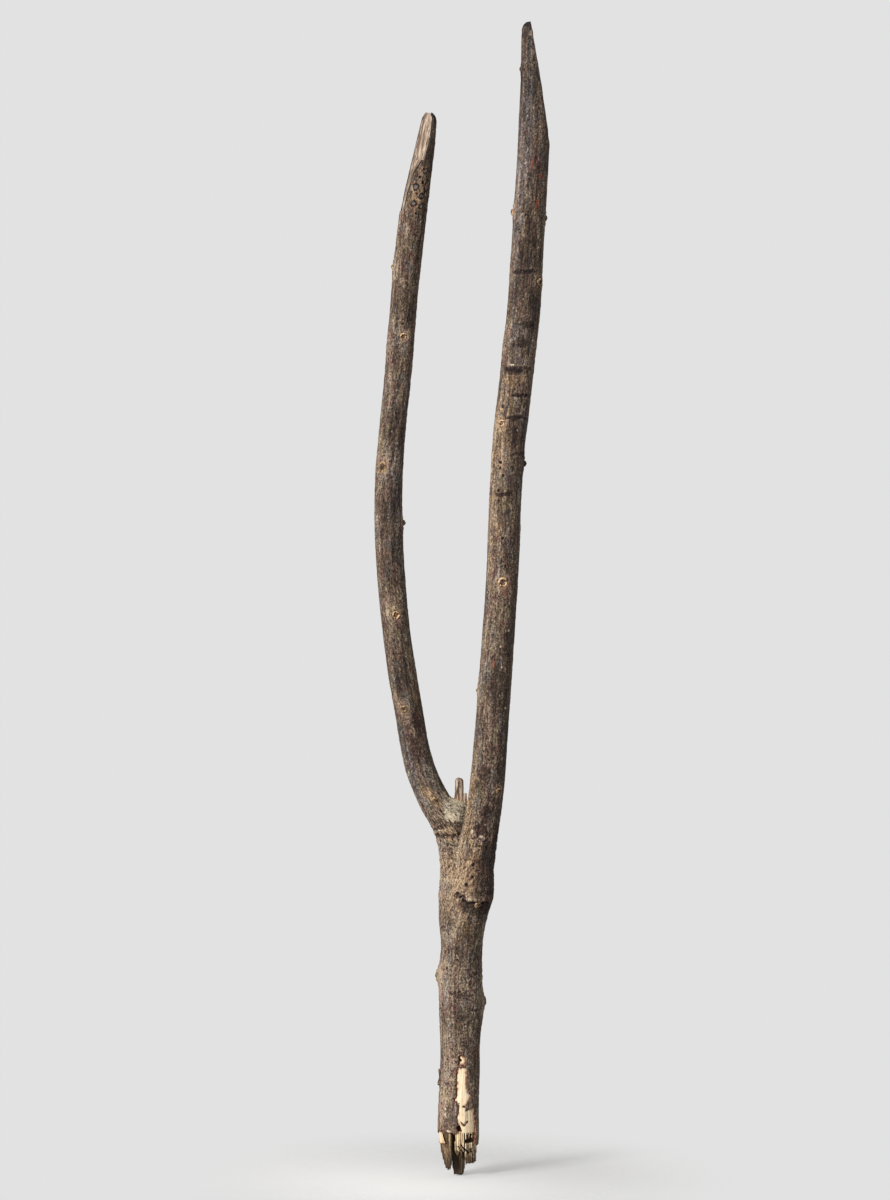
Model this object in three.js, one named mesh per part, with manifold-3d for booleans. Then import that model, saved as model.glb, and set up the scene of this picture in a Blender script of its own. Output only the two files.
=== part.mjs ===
// A two-tined hay fork grown from one forked branch, with its handle broken short.
//
// Millimetres, +Z up along the handle towards the tines, +X from the left tine to the right one,
// -Y the side that shows the torn bark. The origin is on the handle's axis, where the hand closes.
//
// Every limb is a wooden core inside a sleeve of bark. Knots, buds and galls stand on the core and
// come out through holes in the bark. Below the bark the handle ends in the splinters of the break.
// The limbs run near enough upright that each section is taken level, as a circle round the pith.

import * as THREE from "three";
import { mergeVertices } from "three/addons/utils/BufferGeometryUtils.js";
import Module from "manifold-3d";

const wasm = await Module();
wasm.setup();

// ---------------------------------------------------------------- driving dimensions

const BARK = 1.4; // thickness of the bark
const FIT = 0.3; // gap between neighbouring pieces
const SIDES = 16; // facets round a limb
const RING = 24; // height of one ring of facets
const THROUGH = 8; // how far a cutting shape runs past what it cuts
const OVERRUN = 2; // how far a knife's flat runs on past its upper level

const BREAK = -88; // where the sound wood of the handle ends
const BARK_END_LEFT = -89; // lower edge of the bark on the left of the torn window
const BARK_END_RIGHT = -102; // lower edge of the bark on its right
const UNION_START = 60; // level where the handle meets the union
const TINE_START = 196; // level where the union meets both tines
const LEFT_TIP = 724.8;
const RIGHT_TIP = 799.6;
const LEFT_BARK_TOP = 716;
const RIGHT_BARK_TOP = 791;

// Limbs, as stations up the pith: level, x, y, and radius over the bark.
const HANDLE = [
  [-130, -2.4, 0, 16.4],
  [-100, -2.0, 0, 16.8],
  [-74, -1.6, 0, 16.4],
  [-35, -0.4, 0, 16.2],
  [-3, -0.2, 0, 16.4],
  [13, 0.8, 0, 18.0],
  [32, 0.2, 0, 16.9],
  [51, 0.5, 0, 16.7],
  [60, 1.0, 0, 16.6],
  [75, 1.2, 0, 16.8],
];
const LEFT_LIMB = [
  [50, 0.8, 0, 16.6],
  [60, 1.0, 0, 16.6],
  [80, 0.6, 1, 17.0],
  [99, 0.0, 3, 17.4],
  [118, -0.5, 5, 15.6],
  [137, -2.4, 6, 14.2],
  [150, -7.4, 6, 14.0],
  [166, -15.6, 6, 14.4],
  [176, -21.0, 6, 14.3],
  [187, -26.4, 7, 13.4],
  [205, -33.2, 8, 12.0],
  [243, -40.8, 10, 11.4],
  [282, -47.4, 12, 11.4],
  [320, -52.6, 12, 11.2],
  [358, -56.0, 11, 11.3],
  [416, -57.9, 8, 11.1],
  [473, -54.4, 4, 10.8],
  [531, -48.8, 0, 10.8],
  [589, -44.2, -4, 10.8],
  [637, -38.8, -7, 11.0],
  [685, -32.4, -9, 10.4],
  [716, -29.0, -10, 10.2],
  [725, -28.2, -10, 9.4],
];
const RIGHT_LIMB = [
  [50, 0.8, 0, 16.6],
  [60, 1.0, 0, 16.6],
  [70, 1.2, -1, 16.9],
  [80, 2.6, -2, 17.2],
  [90, 5.2, -3, 17.9],
  [99, 8.0, -4, 18.2],
  [109, 9.7, -5, 16.6],
  [118, 10.6, -6, 15.6],
  [137, 13.8, -7, 14.8],
  [157, 16.2, -7, 14.8],
  [176, 20.0, -7, 14.0],
  [205, 22.8, -7, 13.6],
  [243, 25.6, -7, 13.2],
  [301, 29.8, -5, 13.0],
  [358, 33.4, -3, 12.9],
  [416, 35.8, -1, 12.8],
  [454, 38.2, 0, 13.1],
  [493, 42.2, 1, 13.5],
  [531, 46.4, 3, 13.4],
  [570, 50.6, 4, 13.2],
  [627, 54.0, 5, 12.9],
  [666, 56.6, 5, 12.9],
  [704, 58.9, 4, 12.8],
  [760, 60.0, 3, 11.6],
  [791, 59.6, 2, 10.2],
  [799, 59.2, 2, 8.2],
];

// The swollen collar of the left tine fills the crotch up to this ball.
const COLLAR = { x: -4.6, y: 2.5, level: 163.6, radius: 13 };

// Flats cut by the knife to point the tines. The knife stands at a bearing round the pith, turned
// from +X towards +Y, and takes everything further out than its reach at each of two levels.
const LEFT_FLAT_SIDE = { limb: LEFT_LIMB, bearing: -166, low: [650, 9.3], high: [724, -0.3] };
const LEFT_FLAT_FRONT = { limb: LEFT_LIMB, bearing: -135, low: [668, 11.0], high: [697, 2.8] };
const LEFT_FLAT_TIP = { limb: LEFT_LIMB, bearing: -135, low: [690, 3.6], high: [724, -0.5] };
const RIGHT_FLAT_LOW = { limb: RIGHT_LIMB, bearing: -4, low: [703, 12.5], high: [743, 5.7] };
const RIGHT_FLAT_HIGH = { limb: RIGHT_LIMB, bearing: -4, low: [738, 6.5], high: [798, -3.2] };
const KNIFE_WIDTH = 40;
const KNIFE_DEPTH = 30;
const SLAB = 400; // a slab wider than the whole fork, which trims a limb to a stretch

// Knots: name, limb, level, bearing, radius and height above the bark.
const TINE_KNOTS_LEFT = [
  ["left_tine_knot_1", 602, 180, 2.6, 1.2],
  ["left_tine_knot_2", 546, -79, 3.2, 1.1],
  ["left_tine_knot_3", 442, -120, 3.8, 1.2],
  ["left_tine_knot_4", 398, 0, 2.8, 1.9],
  ["left_tine_knot_5", 324, -82, 3.4, 1.3],
  ["left_tine_knot_6", 249, -108, 3.0, 1.1],
  ["left_tine_gall_1", 677, -62, 1.7, 0.7],
  ["left_tine_gall_2", 664, -92, 2.0, 0.8],
  ["left_tine_gall_3", 657, -62, 1.7, 0.7],
  ["left_tine_gall_4", 651, -92, 1.7, 0.7],
  ["left_tine_gall_5", 649, -60, 1.6, 0.7],
];
const TINE_KNOTS_RIGHT = [
  ["right_tine_knot_1", 761, 180, 1.9, 0.9],
  ["right_tine_knot_2", 647, 180, 3.2, 1.7],
  ["right_tine_knot_3", 642, 0, 2.8, 1.2],
  ["right_tine_knot_4", 590, -35, 3.4, 1.4],
  ["right_tine_knot_5", 477, -125, 3.0, 1.3],
  ["right_tine_knot_6", 445, 0, 2.8, 1.7],
  ["right_tine_knot_7", 350, -88, 4.0, 1.6],
  ["right_tine_knot_8", 264, 180, 2.6, 1.2],
];
const UNION_KNOTS_LEFT = [["union_knot_left", 176, -85, 3.0, 1.1]];
const UNION_KNOTS_RIGHT = [
  ["union_knot_right", 184, -50, 2.6, 1.2],
  ["union_scar_knot", 94, -66, 3.0, 1.0],
];
const HANDLE_KNOTS = [
  ["handle_bud_left", 36, 180, 4.2, 2.6],
  ["handle_bud_right", 15, 0, 3.4, 1.2],
];

// Outline of the torn window in the handle's bark, as x and level. It runs out through the break.
const WINDOW = [
  [-1.6, -30],
  [2.8, -30.4],
  [3.2, -37],
  [5, -41],
  [5.2, -60],
  [7, -68],
  [10.2, -72],
  [11.2, -90],
  [12.4, -112],
  [-2.4, -112],
  [-2.4, -84],
  [-4.4, -66],
  [-3.6, -50],
  [-2.8, -38],
];

// Splinters of the break: plan of the root in x and y, then the tip.
const SPLINTERS = {
  splinter_left: {
    plan: [[-6.9, -12.6], [-11, -10.6], [-15.2, -4.5], [-16.6, 1], [-12.6, 8.8], [-6.9, 7]],
    tip: [-9.8, -2, -121],
    blunt: 0.12,
    narrowing: [1.3, 4],
  },
  splinter_middle: {
    plan: [[-6.5, -4], [3.2, -4], [3.2, 6.9], [-6.5, 6.9]],
    tip: [-0.2, 0, -124],
    blunt: 0.7,
    narrowing: [6, 6],
  },
  splinter_front: {
    plan: [[-4.5, -13.6], [-1, -14.4], [2.5, -14], [2.5, -4.4], [-4.5, -4.4]],
    tip: [-1.6, -9.5, -109],
    blunt: 0.45,
    narrowing: [3, 3],
  },
  splinter_right: {
    plan: [[3.6, -13.7], [8.4, -10.6], [11.5, -6.2], [12.7, 0], [11.2, 6.9], [3.6, 6.9]],
    tip: [8.8, -3, -114],
    blunt: 0.85,
    narrowing: [4, 3],
  },
  splinter_back: {
    plan: [[-11, 9.6], [-4.6, 7.4], [11, 7.4], [7, 11.4], [-2, 13.8], [-7.6, 12.6]],
    tip: [-1, 10, -110],
    blunt: 0.4,
    narrowing: [2, 2],
  },
  splinter_chip: {
    plan: [[-17.6, -4.6], [-15.8, -4.9], [-11.6, -11], [-13, -12]],
    top: -90,
    tip: [-14.4, -8.2, -99],
    blunt: 0.9,
    narrowing: [1, 1],
  },
};

const TWIG = { x: -1.1, y: 3.0, radius: 3.4, top: 193.6 };
const TWIG_SPLINTER = { x: 3.9, y: 1.0, radius: 1.1, top: 181.5 };
const FLAKE = { low: -52, high: -39, bearing: 184, width: 3.2, thickness: 0.9 };

// ---------------------------------------------------------------- materials

const COLOURS = {
  bark: { color: 0x6b5c50, roughness: 0.85 },
  sapwood: { color: 0xe6cfa6, roughness: 0.7 },
  weathered_wood: { color: 0x6e563b, roughness: 0.85 },
  knot: { color: 0x8a6a4c, roughness: 0.8 },
  twig: { color: 0x8f7864, roughness: 0.85 },
};

function wooden(kind) {
  return new THREE.MeshStandardMaterial({ ...COLOURS[kind], metalness: 0 });
}

// ---------------------------------------------------------------- solids

function toSolid(geometry) {
  const bare = geometry.clone();
  bare.deleteAttribute("normal");
  bare.deleteAttribute("uv");
  const merged = mergeVertices(bare, 1e-4);
  const vertProperties = new Float32Array(merged.attributes.position.array);
  const triVerts = new Uint32Array(merged.index.array);
  return new wasm.Manifold(new wasm.Mesh({ numProp: 3, vertProperties, triVerts }));
}

function toGeometry(solid) {
  const mesh = solid.getMesh();
  const geometry = new THREE.BufferGeometry();
  geometry.setAttribute("position", new THREE.BufferAttribute(mesh.vertProperties, 3));
  geometry.setIndex(new THREE.BufferAttribute(mesh.triVerts, 1));
  geometry.computeVertexNormals();
  return geometry;
}

// The pith and the radius of a limb at any level, on a smooth curve through its stations.
function along(stations) {
  const levels = stations.map((station) => station[0]);
  const values = stations.flatMap((station) => station.slice(1));
  const curve = new THREE.CubicInterpolant(levels, values, 3, new Float64Array(3));
  return (level) => {
    const [x, y, radius] = curve.evaluate(level);
    return { x, y, radius };
  };
}

// A whole limb on one set of rings, closed at both ends, its surface sunk by inset.
function limbSolid(stations, inset) {
  const limb = along(stations);
  const low = stations[0][0];
  const height = stations[stations.length - 1][0] - low;
  const geometry = new THREE.CylinderGeometry(1, 1, height, SIDES, Math.round(height / RING));
  geometry.rotateX(Math.PI / 2);
  geometry.translate(0, 0, low + height / 2);
  const points = geometry.attributes.position;
  for (let i = 0; i < points.count; i += 1) {
    const level = points.getZ(i);
    const { x, y, radius } = limb(level);
    const reach = radius - inset;
    points.setXYZ(i, x + points.getX(i) * reach, y + points.getY(i) * reach, level);
  }
  return toSolid(geometry);
}

// The stretch of a limb between two levels.
function stretch(stations, low, high, inset) {
  const slab = new THREE.BoxGeometry(SLAB, SLAB, high - low);
  slab.translate(0, 0, (low + high) / 2);
  return limbSolid(stations, inset).intersect(toSolid(slab));
}

// The block that a knife takes away, its inner face touching the pith at the stated reaches.
function flat({ limb, bearing, low, high }) {
  const pith = along(limb);
  const out = new THREE.Vector3(1, 0, 0).applyAxisAngle(new THREE.Vector3(0, 0, 1), rad(bearing));
  const [foot, head] = [low, high].map(([level, reach]) => {
    const { x, y } = pith(level);
    return new THREE.Vector3(x, y, level).addScaledVector(out, reach);
  });
  const up = head.clone().sub(foot);
  const length = up.length() + OVERRUN;
  up.normalize();
  const across = new THREE.Vector3().crossVectors(up, out).normalize();
  const facing = new THREE.Vector3().crossVectors(across, up);
  const block = new THREE.BoxGeometry(KNIFE_DEPTH, KNIFE_WIDTH, length);
  block.translate(KNIFE_DEPTH / 2, 0, length / 2);
  block.applyMatrix4(new THREE.Matrix4().makeBasis(facing, across, up).setPosition(foot));
  return toSolid(block);
}

function rad(degrees) {
  return THREE.MathUtils.degToRad(degrees);
}

// Turns a shape made along +Y so that it points out of a limb at a bearing, from a given distance.
function outward(geometry, stations, level, bearing, distance) {
  const { x, y } = along(stations)(level);
  geometry.rotateZ(-Math.PI / 2);
  geometry.translate(distance, 0, 0);
  geometry.rotateZ(rad(bearing));
  geometry.translate(x, y, level);
  return geometry;
}

// A knot is a short round peg on the wood with a low domed head above the bark.
function knot(stations, level, bearing, radius, height) {
  const length = BARK - FIT + height;
  const head = [0.35, 0.7, 1].map((part) => {
    const angle = (part * Math.PI) / 2;
    return new THREE.Vector2(radius * Math.cos(angle) * 0.9, length - height * 0.6 * (1 - Math.sin(angle)));
  });
  head[head.length - 1].x = 0;
  const profile = [new THREE.Vector2(0, 0), new THREE.Vector2(radius, 0)];
  profile.push(new THREE.Vector2(radius, length - height * 0.6), ...head);
  const peg = new THREE.LatheGeometry(profile, 10);
  const root = along(stations)(level).radius - BARK + FIT;
  return outward(peg, stations, level, bearing, root);
}

function knotHole(stations, level, bearing, radius) {
  const drill = new THREE.CylinderGeometry(radius + FIT, radius + FIT, 2 * THROUGH, 10);
  return toSolid(outward(drill, stations, level, bearing, along(stations)(level).radius));
}

// A splinter tapers from the plan of its root to a tip, and blunt says how much width is left there.
// It narrows late where the power for its left or right half is high.
function splinter({ plan, top = BREAK - FIT, tip, blunt, narrowing }) {
  const shape = new THREE.Shape(plan.map(([x, y]) => new THREE.Vector2(x, y)));
  const geometry = new THREE.ExtrudeGeometry(shape, { depth: 1, steps: 6, bevelEnabled: false });
  const points = geometry.attributes.position;
  for (let i = 0; i < points.count; i += 1) {
    const down = 1 - points.getZ(i);
    const power = points.getX(i) < tip[0] ? narrowing[0] : narrowing[1];
    const pull = (1 - blunt) * down ** power;
    const x = THREE.MathUtils.lerp(points.getX(i), tip[0], pull);
    const y = THREE.MathUtils.lerp(points.getY(i), tip[1], pull);
    points.setXYZ(i, x, y, THREE.MathUtils.lerp(top, tip[2], down));
  }
  return geometry;
}

// A twig stands in the crotch, cut to the union's surface where it grows out of it.
function twig({ x, y, radius, top }, ground) {
  const foot = COLLAR.level;
  const stem = new THREE.CylinderGeometry(radius * 0.8, radius, top - foot, 12, 1);
  stem.rotateX(Math.PI / 2);
  stem.translate(x, y, (top + foot) / 2);
  return toSolid(stem).subtract(ground);
}

// ---------------------------------------------------------------- assembly

const group = new THREE.Group();

function add(name, kind, shape) {
  const geometry = shape.getMesh ? toGeometry(shape) : shape;
  const mesh = new THREE.Mesh(geometry, wooden(kind));
  mesh.name = name;
  group.add(mesh);
}

function addKnots(knots, stations, bark) {
  let pierced = bark;
  for (const [name, level, bearing, radius, height] of knots) {
    add(name, name.includes("gall") ? "weathered_wood" : "knot", knot(stations, level, bearing, radius, height));
    pierced = pierced.subtract(knotHole(stations, level, bearing, radius));
  }
  return pierced;
}

// Handle, with the torn window and the uneven lower edge of its bark.
function addHandle() {
  const low = BARK_END_RIGHT;
  const high = UNION_START - FIT / 2;
  add("handle_core", "sapwood", stretch(HANDLE, BREAK, high, BARK + FIT));
  let bark = stretch(HANDLE, low, high, 0).subtract(stretch(HANDLE, low - THROUGH, high + THROUGH, BARK));
  const outline = new THREE.Shape(WINDOW.map(([x, level]) => new THREE.Vector2(x, level)));
  const opening = new THREE.ExtrudeGeometry(outline, { depth: 4 * THROUGH, bevelEnabled: false });
  opening.rotateX(Math.PI / 2);
  bark = bark.subtract(toSolid(opening));
  const missing = new THREE.BoxGeometry(4 * THROUGH, 8 * THROUGH, 4 * THROUGH);
  missing.translate(-2.4 - 2 * THROUGH, 0, BARK_END_LEFT - 2 * THROUGH);
  bark = bark.subtract(toSolid(missing));
  add("handle_bark", "bark", addKnots(HANDLE_KNOTS, HANDLE, bark));
}

// The union is where the two limbs and the collar run into each other and into the handle.
function unionSolid(low, high, inset) {
  const ball = new THREE.SphereGeometry(COLLAR.radius - inset, SIDES, SIDES / 2);
  ball.rotateX(Math.PI / 2);
  ball.translate(COLLAR.x, COLLAR.y, COLLAR.level);
  const limbs = stretch(LEFT_LIMB, low, high, inset).add(stretch(RIGHT_LIMB, low, high, inset));
  return limbs.add(toSolid(ball));
}

function addUnion() {
  const low = UNION_START + FIT / 2;
  const high = TINE_START - FIT / 2;
  add("union_core", "sapwood", unionSolid(low, high, BARK + FIT));
  let bark = unionSolid(low, high, 0).subtract(unionSolid(low - THROUGH, high + THROUGH, BARK));
  bark = addKnots(UNION_KNOTS_LEFT, LEFT_LIMB, bark);
  add("union_bark", "bark", addKnots(UNION_KNOTS_RIGHT, RIGHT_LIMB, bark));
  const ground = unionSolid(low, high + THROUGH, -FIT);
  add("dead_twig", "twig", twig(TWIG, ground));
  add("dead_twig_splinter", "twig", twig(TWIG_SPLINTER, ground));
}

function addTine(side, stations, tip, barkTop, flats, knots) {
  const low = TINE_START + FIT / 2;
  let core = stretch(stations, low, tip, BARK + FIT);
  let bark = stretch(stations, low, barkTop, 0);
  bark = bark.subtract(stretch(stations, low - THROUGH, barkTop + THROUGH, BARK));
  for (const cut of flats) {
    const removed = flat(cut);
    core = core.subtract(removed);
    bark = bark.subtract(removed);
  }
  add(`${side}_tine_core`, "sapwood", core);
  add(`${side}_tine_bark`, "bark", addKnots(knots, stations, bark));
}

function addFlake() {
  const { low, high, bearing, width, thickness } = FLAKE;
  const middle = (low + high) / 2;
  const flake = new THREE.CylinderGeometry(width / 2, width / 3, high - low, 8, 1);
  flake.rotateX(Math.PI / 2);
  flake.scale(thickness / width, 1, 1);
  flake.translate(along(HANDLE)(middle).radius + FIT + thickness / 2, 0, 0);
  flake.rotateZ(rad(bearing));
  flake.translate(along(HANDLE)(middle).x, 0, middle);
  add("bark_flake", "bark", flake);
}

addHandle();
addUnion();
const leftFlats = [LEFT_FLAT_SIDE, LEFT_FLAT_FRONT, LEFT_FLAT_TIP];
const rightFlats = [RIGHT_FLAT_LOW, RIGHT_FLAT_HIGH];
addTine("left", LEFT_LIMB, LEFT_TIP, LEFT_BARK_TOP, leftFlats, TINE_KNOTS_LEFT);
addTine("right", RIGHT_LIMB, RIGHT_TIP, RIGHT_BARK_TOP, rightFlats, TINE_KNOTS_RIGHT);
for (const [name, form] of Object.entries(SPLINTERS)) {
  const bright = name === "splinter_front" || name === "splinter_right" || name === "splinter_chip";
  add(name, bright ? "sapwood" : "weathered_wood", splinter(form));
}
addFlake();

export default group;
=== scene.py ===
"""A hay fork grown from one forked branch, its bark on, its tines whittled and its handle broken short.

The limbs, knots, twigs and splinters stand where the CAD model has them. Their fine surface is made
here, in millimetres: bark in folds along the grain, collars round the knots, the torn window, the
knife's flats and the fibres of the break. Everything is turned into metres when a mesh is made.
"""

import math

import bpy
import numpy as np
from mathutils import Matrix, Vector

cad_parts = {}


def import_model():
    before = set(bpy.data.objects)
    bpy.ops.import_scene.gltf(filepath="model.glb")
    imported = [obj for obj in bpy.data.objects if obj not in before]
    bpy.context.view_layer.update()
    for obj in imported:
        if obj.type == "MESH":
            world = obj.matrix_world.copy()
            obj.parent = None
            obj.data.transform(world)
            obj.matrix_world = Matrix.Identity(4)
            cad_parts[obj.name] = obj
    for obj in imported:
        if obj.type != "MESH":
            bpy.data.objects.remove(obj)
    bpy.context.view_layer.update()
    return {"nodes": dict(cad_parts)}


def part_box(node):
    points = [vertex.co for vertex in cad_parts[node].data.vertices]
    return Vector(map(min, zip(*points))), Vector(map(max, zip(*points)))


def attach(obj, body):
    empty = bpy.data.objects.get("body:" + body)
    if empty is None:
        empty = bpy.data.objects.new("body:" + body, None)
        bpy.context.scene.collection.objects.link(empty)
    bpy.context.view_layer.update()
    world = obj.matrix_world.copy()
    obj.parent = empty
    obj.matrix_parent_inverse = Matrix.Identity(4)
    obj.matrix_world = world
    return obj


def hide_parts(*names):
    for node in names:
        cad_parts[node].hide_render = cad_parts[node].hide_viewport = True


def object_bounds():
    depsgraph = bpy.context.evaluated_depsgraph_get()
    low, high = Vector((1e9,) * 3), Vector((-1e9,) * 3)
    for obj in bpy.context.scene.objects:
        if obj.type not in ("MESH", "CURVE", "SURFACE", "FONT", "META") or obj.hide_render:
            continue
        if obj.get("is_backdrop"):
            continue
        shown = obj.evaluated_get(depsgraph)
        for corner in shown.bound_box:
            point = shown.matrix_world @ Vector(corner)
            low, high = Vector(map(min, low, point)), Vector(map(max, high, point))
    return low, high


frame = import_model()

MM = 0.001
TAU = 2 * math.pi
FINE = 0.62  # spacing of points on the bark and the bare wood
COARSE = 6.0  # spacing along surfaces that nothing shows

BARK = 1.55  # how far under the limb's round the inside of the bark lies
CORE_DEPTH = 1.7  # how far under it the CAD cores lie
DEEPEST = -1.25  # no groove in the bark goes deeper than this
BREAK = -88.0  # where the handle's sound wood ends
BARE_BELOW = -20.0  # bare wood shows on the handle's front from here down
EDGE_FADES = 44.0  # how far above a ragged lower edge the bark's rows of points run level again
UNION_START, TINE_START = 60.0, 196.0  # where the handle, union and tines meet
LEFT_TIP, RIGHT_TIP = 724.8, 799.6
TIP_DOME = 8.5  # how far below its top a tip starts to round off


# ---------------------------------------------------------------- noise


def hashed(x, y, z, seed):
    """A number from 0 to 1 that depends on whole x, y, z and seed only."""
    mix = x * 374761393 + y * 668265263 + z * 2147483647 + seed * 1442695041
    mix = (mix ^ (mix >> 13)) * 1274126177 & 0xFFFFFFFF
    return ((mix ^ (mix >> 16)) & 0xFFFF) / 65535


def noise(points, seed):
    """Smooth noise from -1 to 1 with one cell per unit, the same on every run."""
    cell = np.floor(points).astype(np.int64)
    part = points - cell
    fade = part**3 * (part * (part * 6 - 15) + 10)
    total = np.zeros(len(points))
    for corner in np.ndindex(2, 2, 2):
        value = hashed(*(cell + corner).T, seed) * 2 - 1
        total += value * np.prod(np.where(corner, fade, 1 - fade), axis=1)
    return total


def layered(points, size, seed, octaves=3):
    """Noise whose largest lumps have the given size, in one number or one for each axis."""
    total, weight = np.zeros(len(points)), 0.0
    for octave in range(octaves):
        share = 0.5**octave
        total += share * noise(points / np.asarray(size) * 2**octave, seed + 17 * octave)
        weight += share
    return total / weight


def fibres(x, y, size, seed):
    """For places across the grain: the random number of the fibre there, and the depth into it."""
    column, row = np.floor(x / size), np.floor(y / size)
    nearest = np.full(np.shape(x), 9.0)
    second, value = nearest.copy(), np.zeros(np.shape(x))
    for i, j in np.ndindex(3, 3):
        at_x, at_y = (column + i - 1).astype(np.int64), (row + j - 1).astype(np.int64)
        seed_x = at_x + 0.15 + 0.7 * hashed(at_x, at_y, at_x * 0, seed)
        seed_y = at_y + 0.15 + 0.7 * hashed(at_x, at_y, at_x * 0, seed + 1)
        far = np.hypot(x / size - seed_x, y / size - seed_y)
        closer = far < nearest
        second = np.where(closer, nearest, np.minimum(second, far))
        value = np.where(closer, hashed(at_x, at_y, at_x * 0, seed + 2), value)
        nearest = np.minimum(nearest, far)
    return value, (second - nearest) * size / 2


def spread(first, second=0.0):
    """Places over a plane or along a line, for noise that varies over no more than that."""
    return np.c_[first, first * 0 + second, first * 0]


def smoothstep(low, high, value):
    """0 below low and 1 above high, rising smoothly between them, or falling if low is the greater."""
    part = np.clip((value - low) / (high - low), 0, 1)
    return part * part * (3 - 2 * part)


def sweep(bearing, low, high):
    """As smoothstep, for a bearing between two that are given in degrees."""
    return smoothstep(math.radians(low), math.radians(high), bearing)


def bump(value, width):
    """1 at zero, falling off smoothly over width."""
    return np.exp(-((value / width) ** 2))


def turned(bearing, start):
    """The turn from start to a bearing, from -pi to pi."""
    return (bearing - start + math.pi) % TAU - math.pi


# ---------------------------------------------------------------- limbs, read from the CAD cores


def places_in(piece):
    """The points of an object's mesh, in metres."""
    places = np.empty(len(piece.data.vertices) * 3)
    piece.data.vertices.foreach_get("co", places)
    return places.reshape(-1, 3)


def points_in(piece):
    """The points of an object's mesh, in millimetres."""
    return places_in(piece) / MM


def points_of(node):
    """The different points of a CAD node, in millimetres."""
    return np.unique(places_in(frame["nodes"][node]).round(7), axis=0) / MM


def box_of(node):
    """Lowest and highest corner of a CAD node, in millimetres."""
    low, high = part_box(node)
    return np.array(low) / MM, np.array(high) / MM


def circle(points):
    """Centre and radius of the circle through points of one level, dropping those that lie off it."""
    while len(points) >= 5:
        x, y = points[:, 0], points[:, 1]
        a, b, c = np.linalg.lstsq(np.c_[x, y, np.ones(len(x))], x * x + y * y, rcond=None)[0]
        radius = math.sqrt(c + a * a / 4 + b * b / 4)
        off = np.abs(np.hypot(x - a / 2, y - b / 2) - radius)
        if off.max() < 0.02:
            return a / 2, b / 2, radius
        points = np.delete(points, off.argmax(), axis=0)
    return None


def rings(node, levels=None):
    """The CAD core's rings of corners as rows of level, x, y and outer radius."""
    points = points_of(node)
    found = []
    for level in np.unique(points[:, 2].round(2)) if levels is None else levels:
        fit = circle(points[np.abs(points[:, 2] - level) < 0.015])
        if fit:
            found.append((level, fit[0], fit[1], fit[2] + CORE_DEPTH))
    return found


class Limb:
    """A limb's pith and radius at any level, on a smooth curve through the CAD's rings."""

    def __init__(self, tine):
        above = rings(f"{tine}_tine_core")[1:]
        gap = above[1][0] - above[0][0]
        below = [above[0][0] - gap * step for step in range(1, 7)]
        rows = rings("handle_core")[1:] + rings("union_core", below) + above
        table = np.array(sorted(rows))
        self.levels, self.values = table[:, 0], table[:, 1:]
        self.slopes = np.gradient(self.values, self.levels, axis=0)

    def at(self, level):
        """x, y and radius over the bark at each level."""
        level = np.atleast_1d(np.asarray(level, float))
        inside = np.clip(level, self.levels[0], self.levels[-1])
        i = np.clip(np.searchsorted(self.levels, inside) - 1, 0, len(self.levels) - 2)
        span = (self.levels[i + 1] - self.levels[i])[..., None]
        t = (inside - self.levels[i])[..., None] / span
        a, b = self.values[i], self.values[i + 1]
        curve = (2 * t**3 - 3 * t**2 + 1) * a + (3 * t**2 - 2 * t**3) * b
        curve += ((t**3 - 2 * t**2 + t) * self.slopes[i] + (t**3 - t**2) * self.slopes[i + 1]) * span
        end_slope = np.where((level < inside)[..., None], self.slopes[0], self.slopes[-1])
        curve += end_slope * (level - inside)[..., None]
        return np.moveaxis(curve, -1, 0)

    def around(self, points):
        """Bearing, distance from the pith and radius of the limb at each point."""
        x, y, radius = self.at(points[:, 2])
        dx, dy = points[:, 0] - x, points[:, 1] - y
        return np.arctan2(dy, dx), np.hypot(dx, dy), radius

    def grain(self, points):
        """Points as they would lie if the limb were straight, so that patterns follow its grain."""
        x, y, _ = self.at(points[:, 2])
        return points - np.c_[x, y, np.zeros(len(points))]

    def place(self, level, bearing, distance):
        """The points at these levels, bearings and distances from the pith, as one list."""
        x, y, _ = self.at(level)
        shape = (x + distance * np.cos(bearing), y + distance * np.sin(bearing), level + 0 * bearing)
        return np.stack(shape, axis=-1).reshape(-1, 3)


RIGHT = Limb("right")
LEFT = Limb("left")


# ---------------------------------------------------------------- what the bark carries


class Spot:
    """Where a knot, bud or gall of the CAD model stands on its limb."""

    def __init__(self, node, limb):
        low, high = box_of(node)
        points = points_of(node)
        _, far, radius = limb.around(points)
        bearing, _, _ = limb.around(((low + high) / 2)[None])
        self.node, self.limb = node, limb
        self.level, self.bearing = (low[2] + high[2]) / 2, bearing[0]
        self.size = (high[2] - low[2]) / 2
        self.height = (far - radius).max()

    def distance(self, level, bearing, radius):
        """Distance over the bark from the middle of the spot."""
        return np.hypot(turned(bearing, self.bearing) * radius, (level - self.level) * 0.85)


def spots(limb, *starts):
    """The knots, buds and galls on a limb, whose nodes have names that start like this."""
    names = sorted(n for n in frame["nodes"] if n.startswith(starts))
    return [Spot(n, limb) for n in names if not n.endswith(("_bark", "_core"))]


SPOTS = {
    LEFT: spots(LEFT, "left_tine", "union_knot_left"),
    RIGHT: spots(RIGHT, "right_tine", "union_knot_right", "union_scar_knot", "handle_bud"),
}

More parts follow.
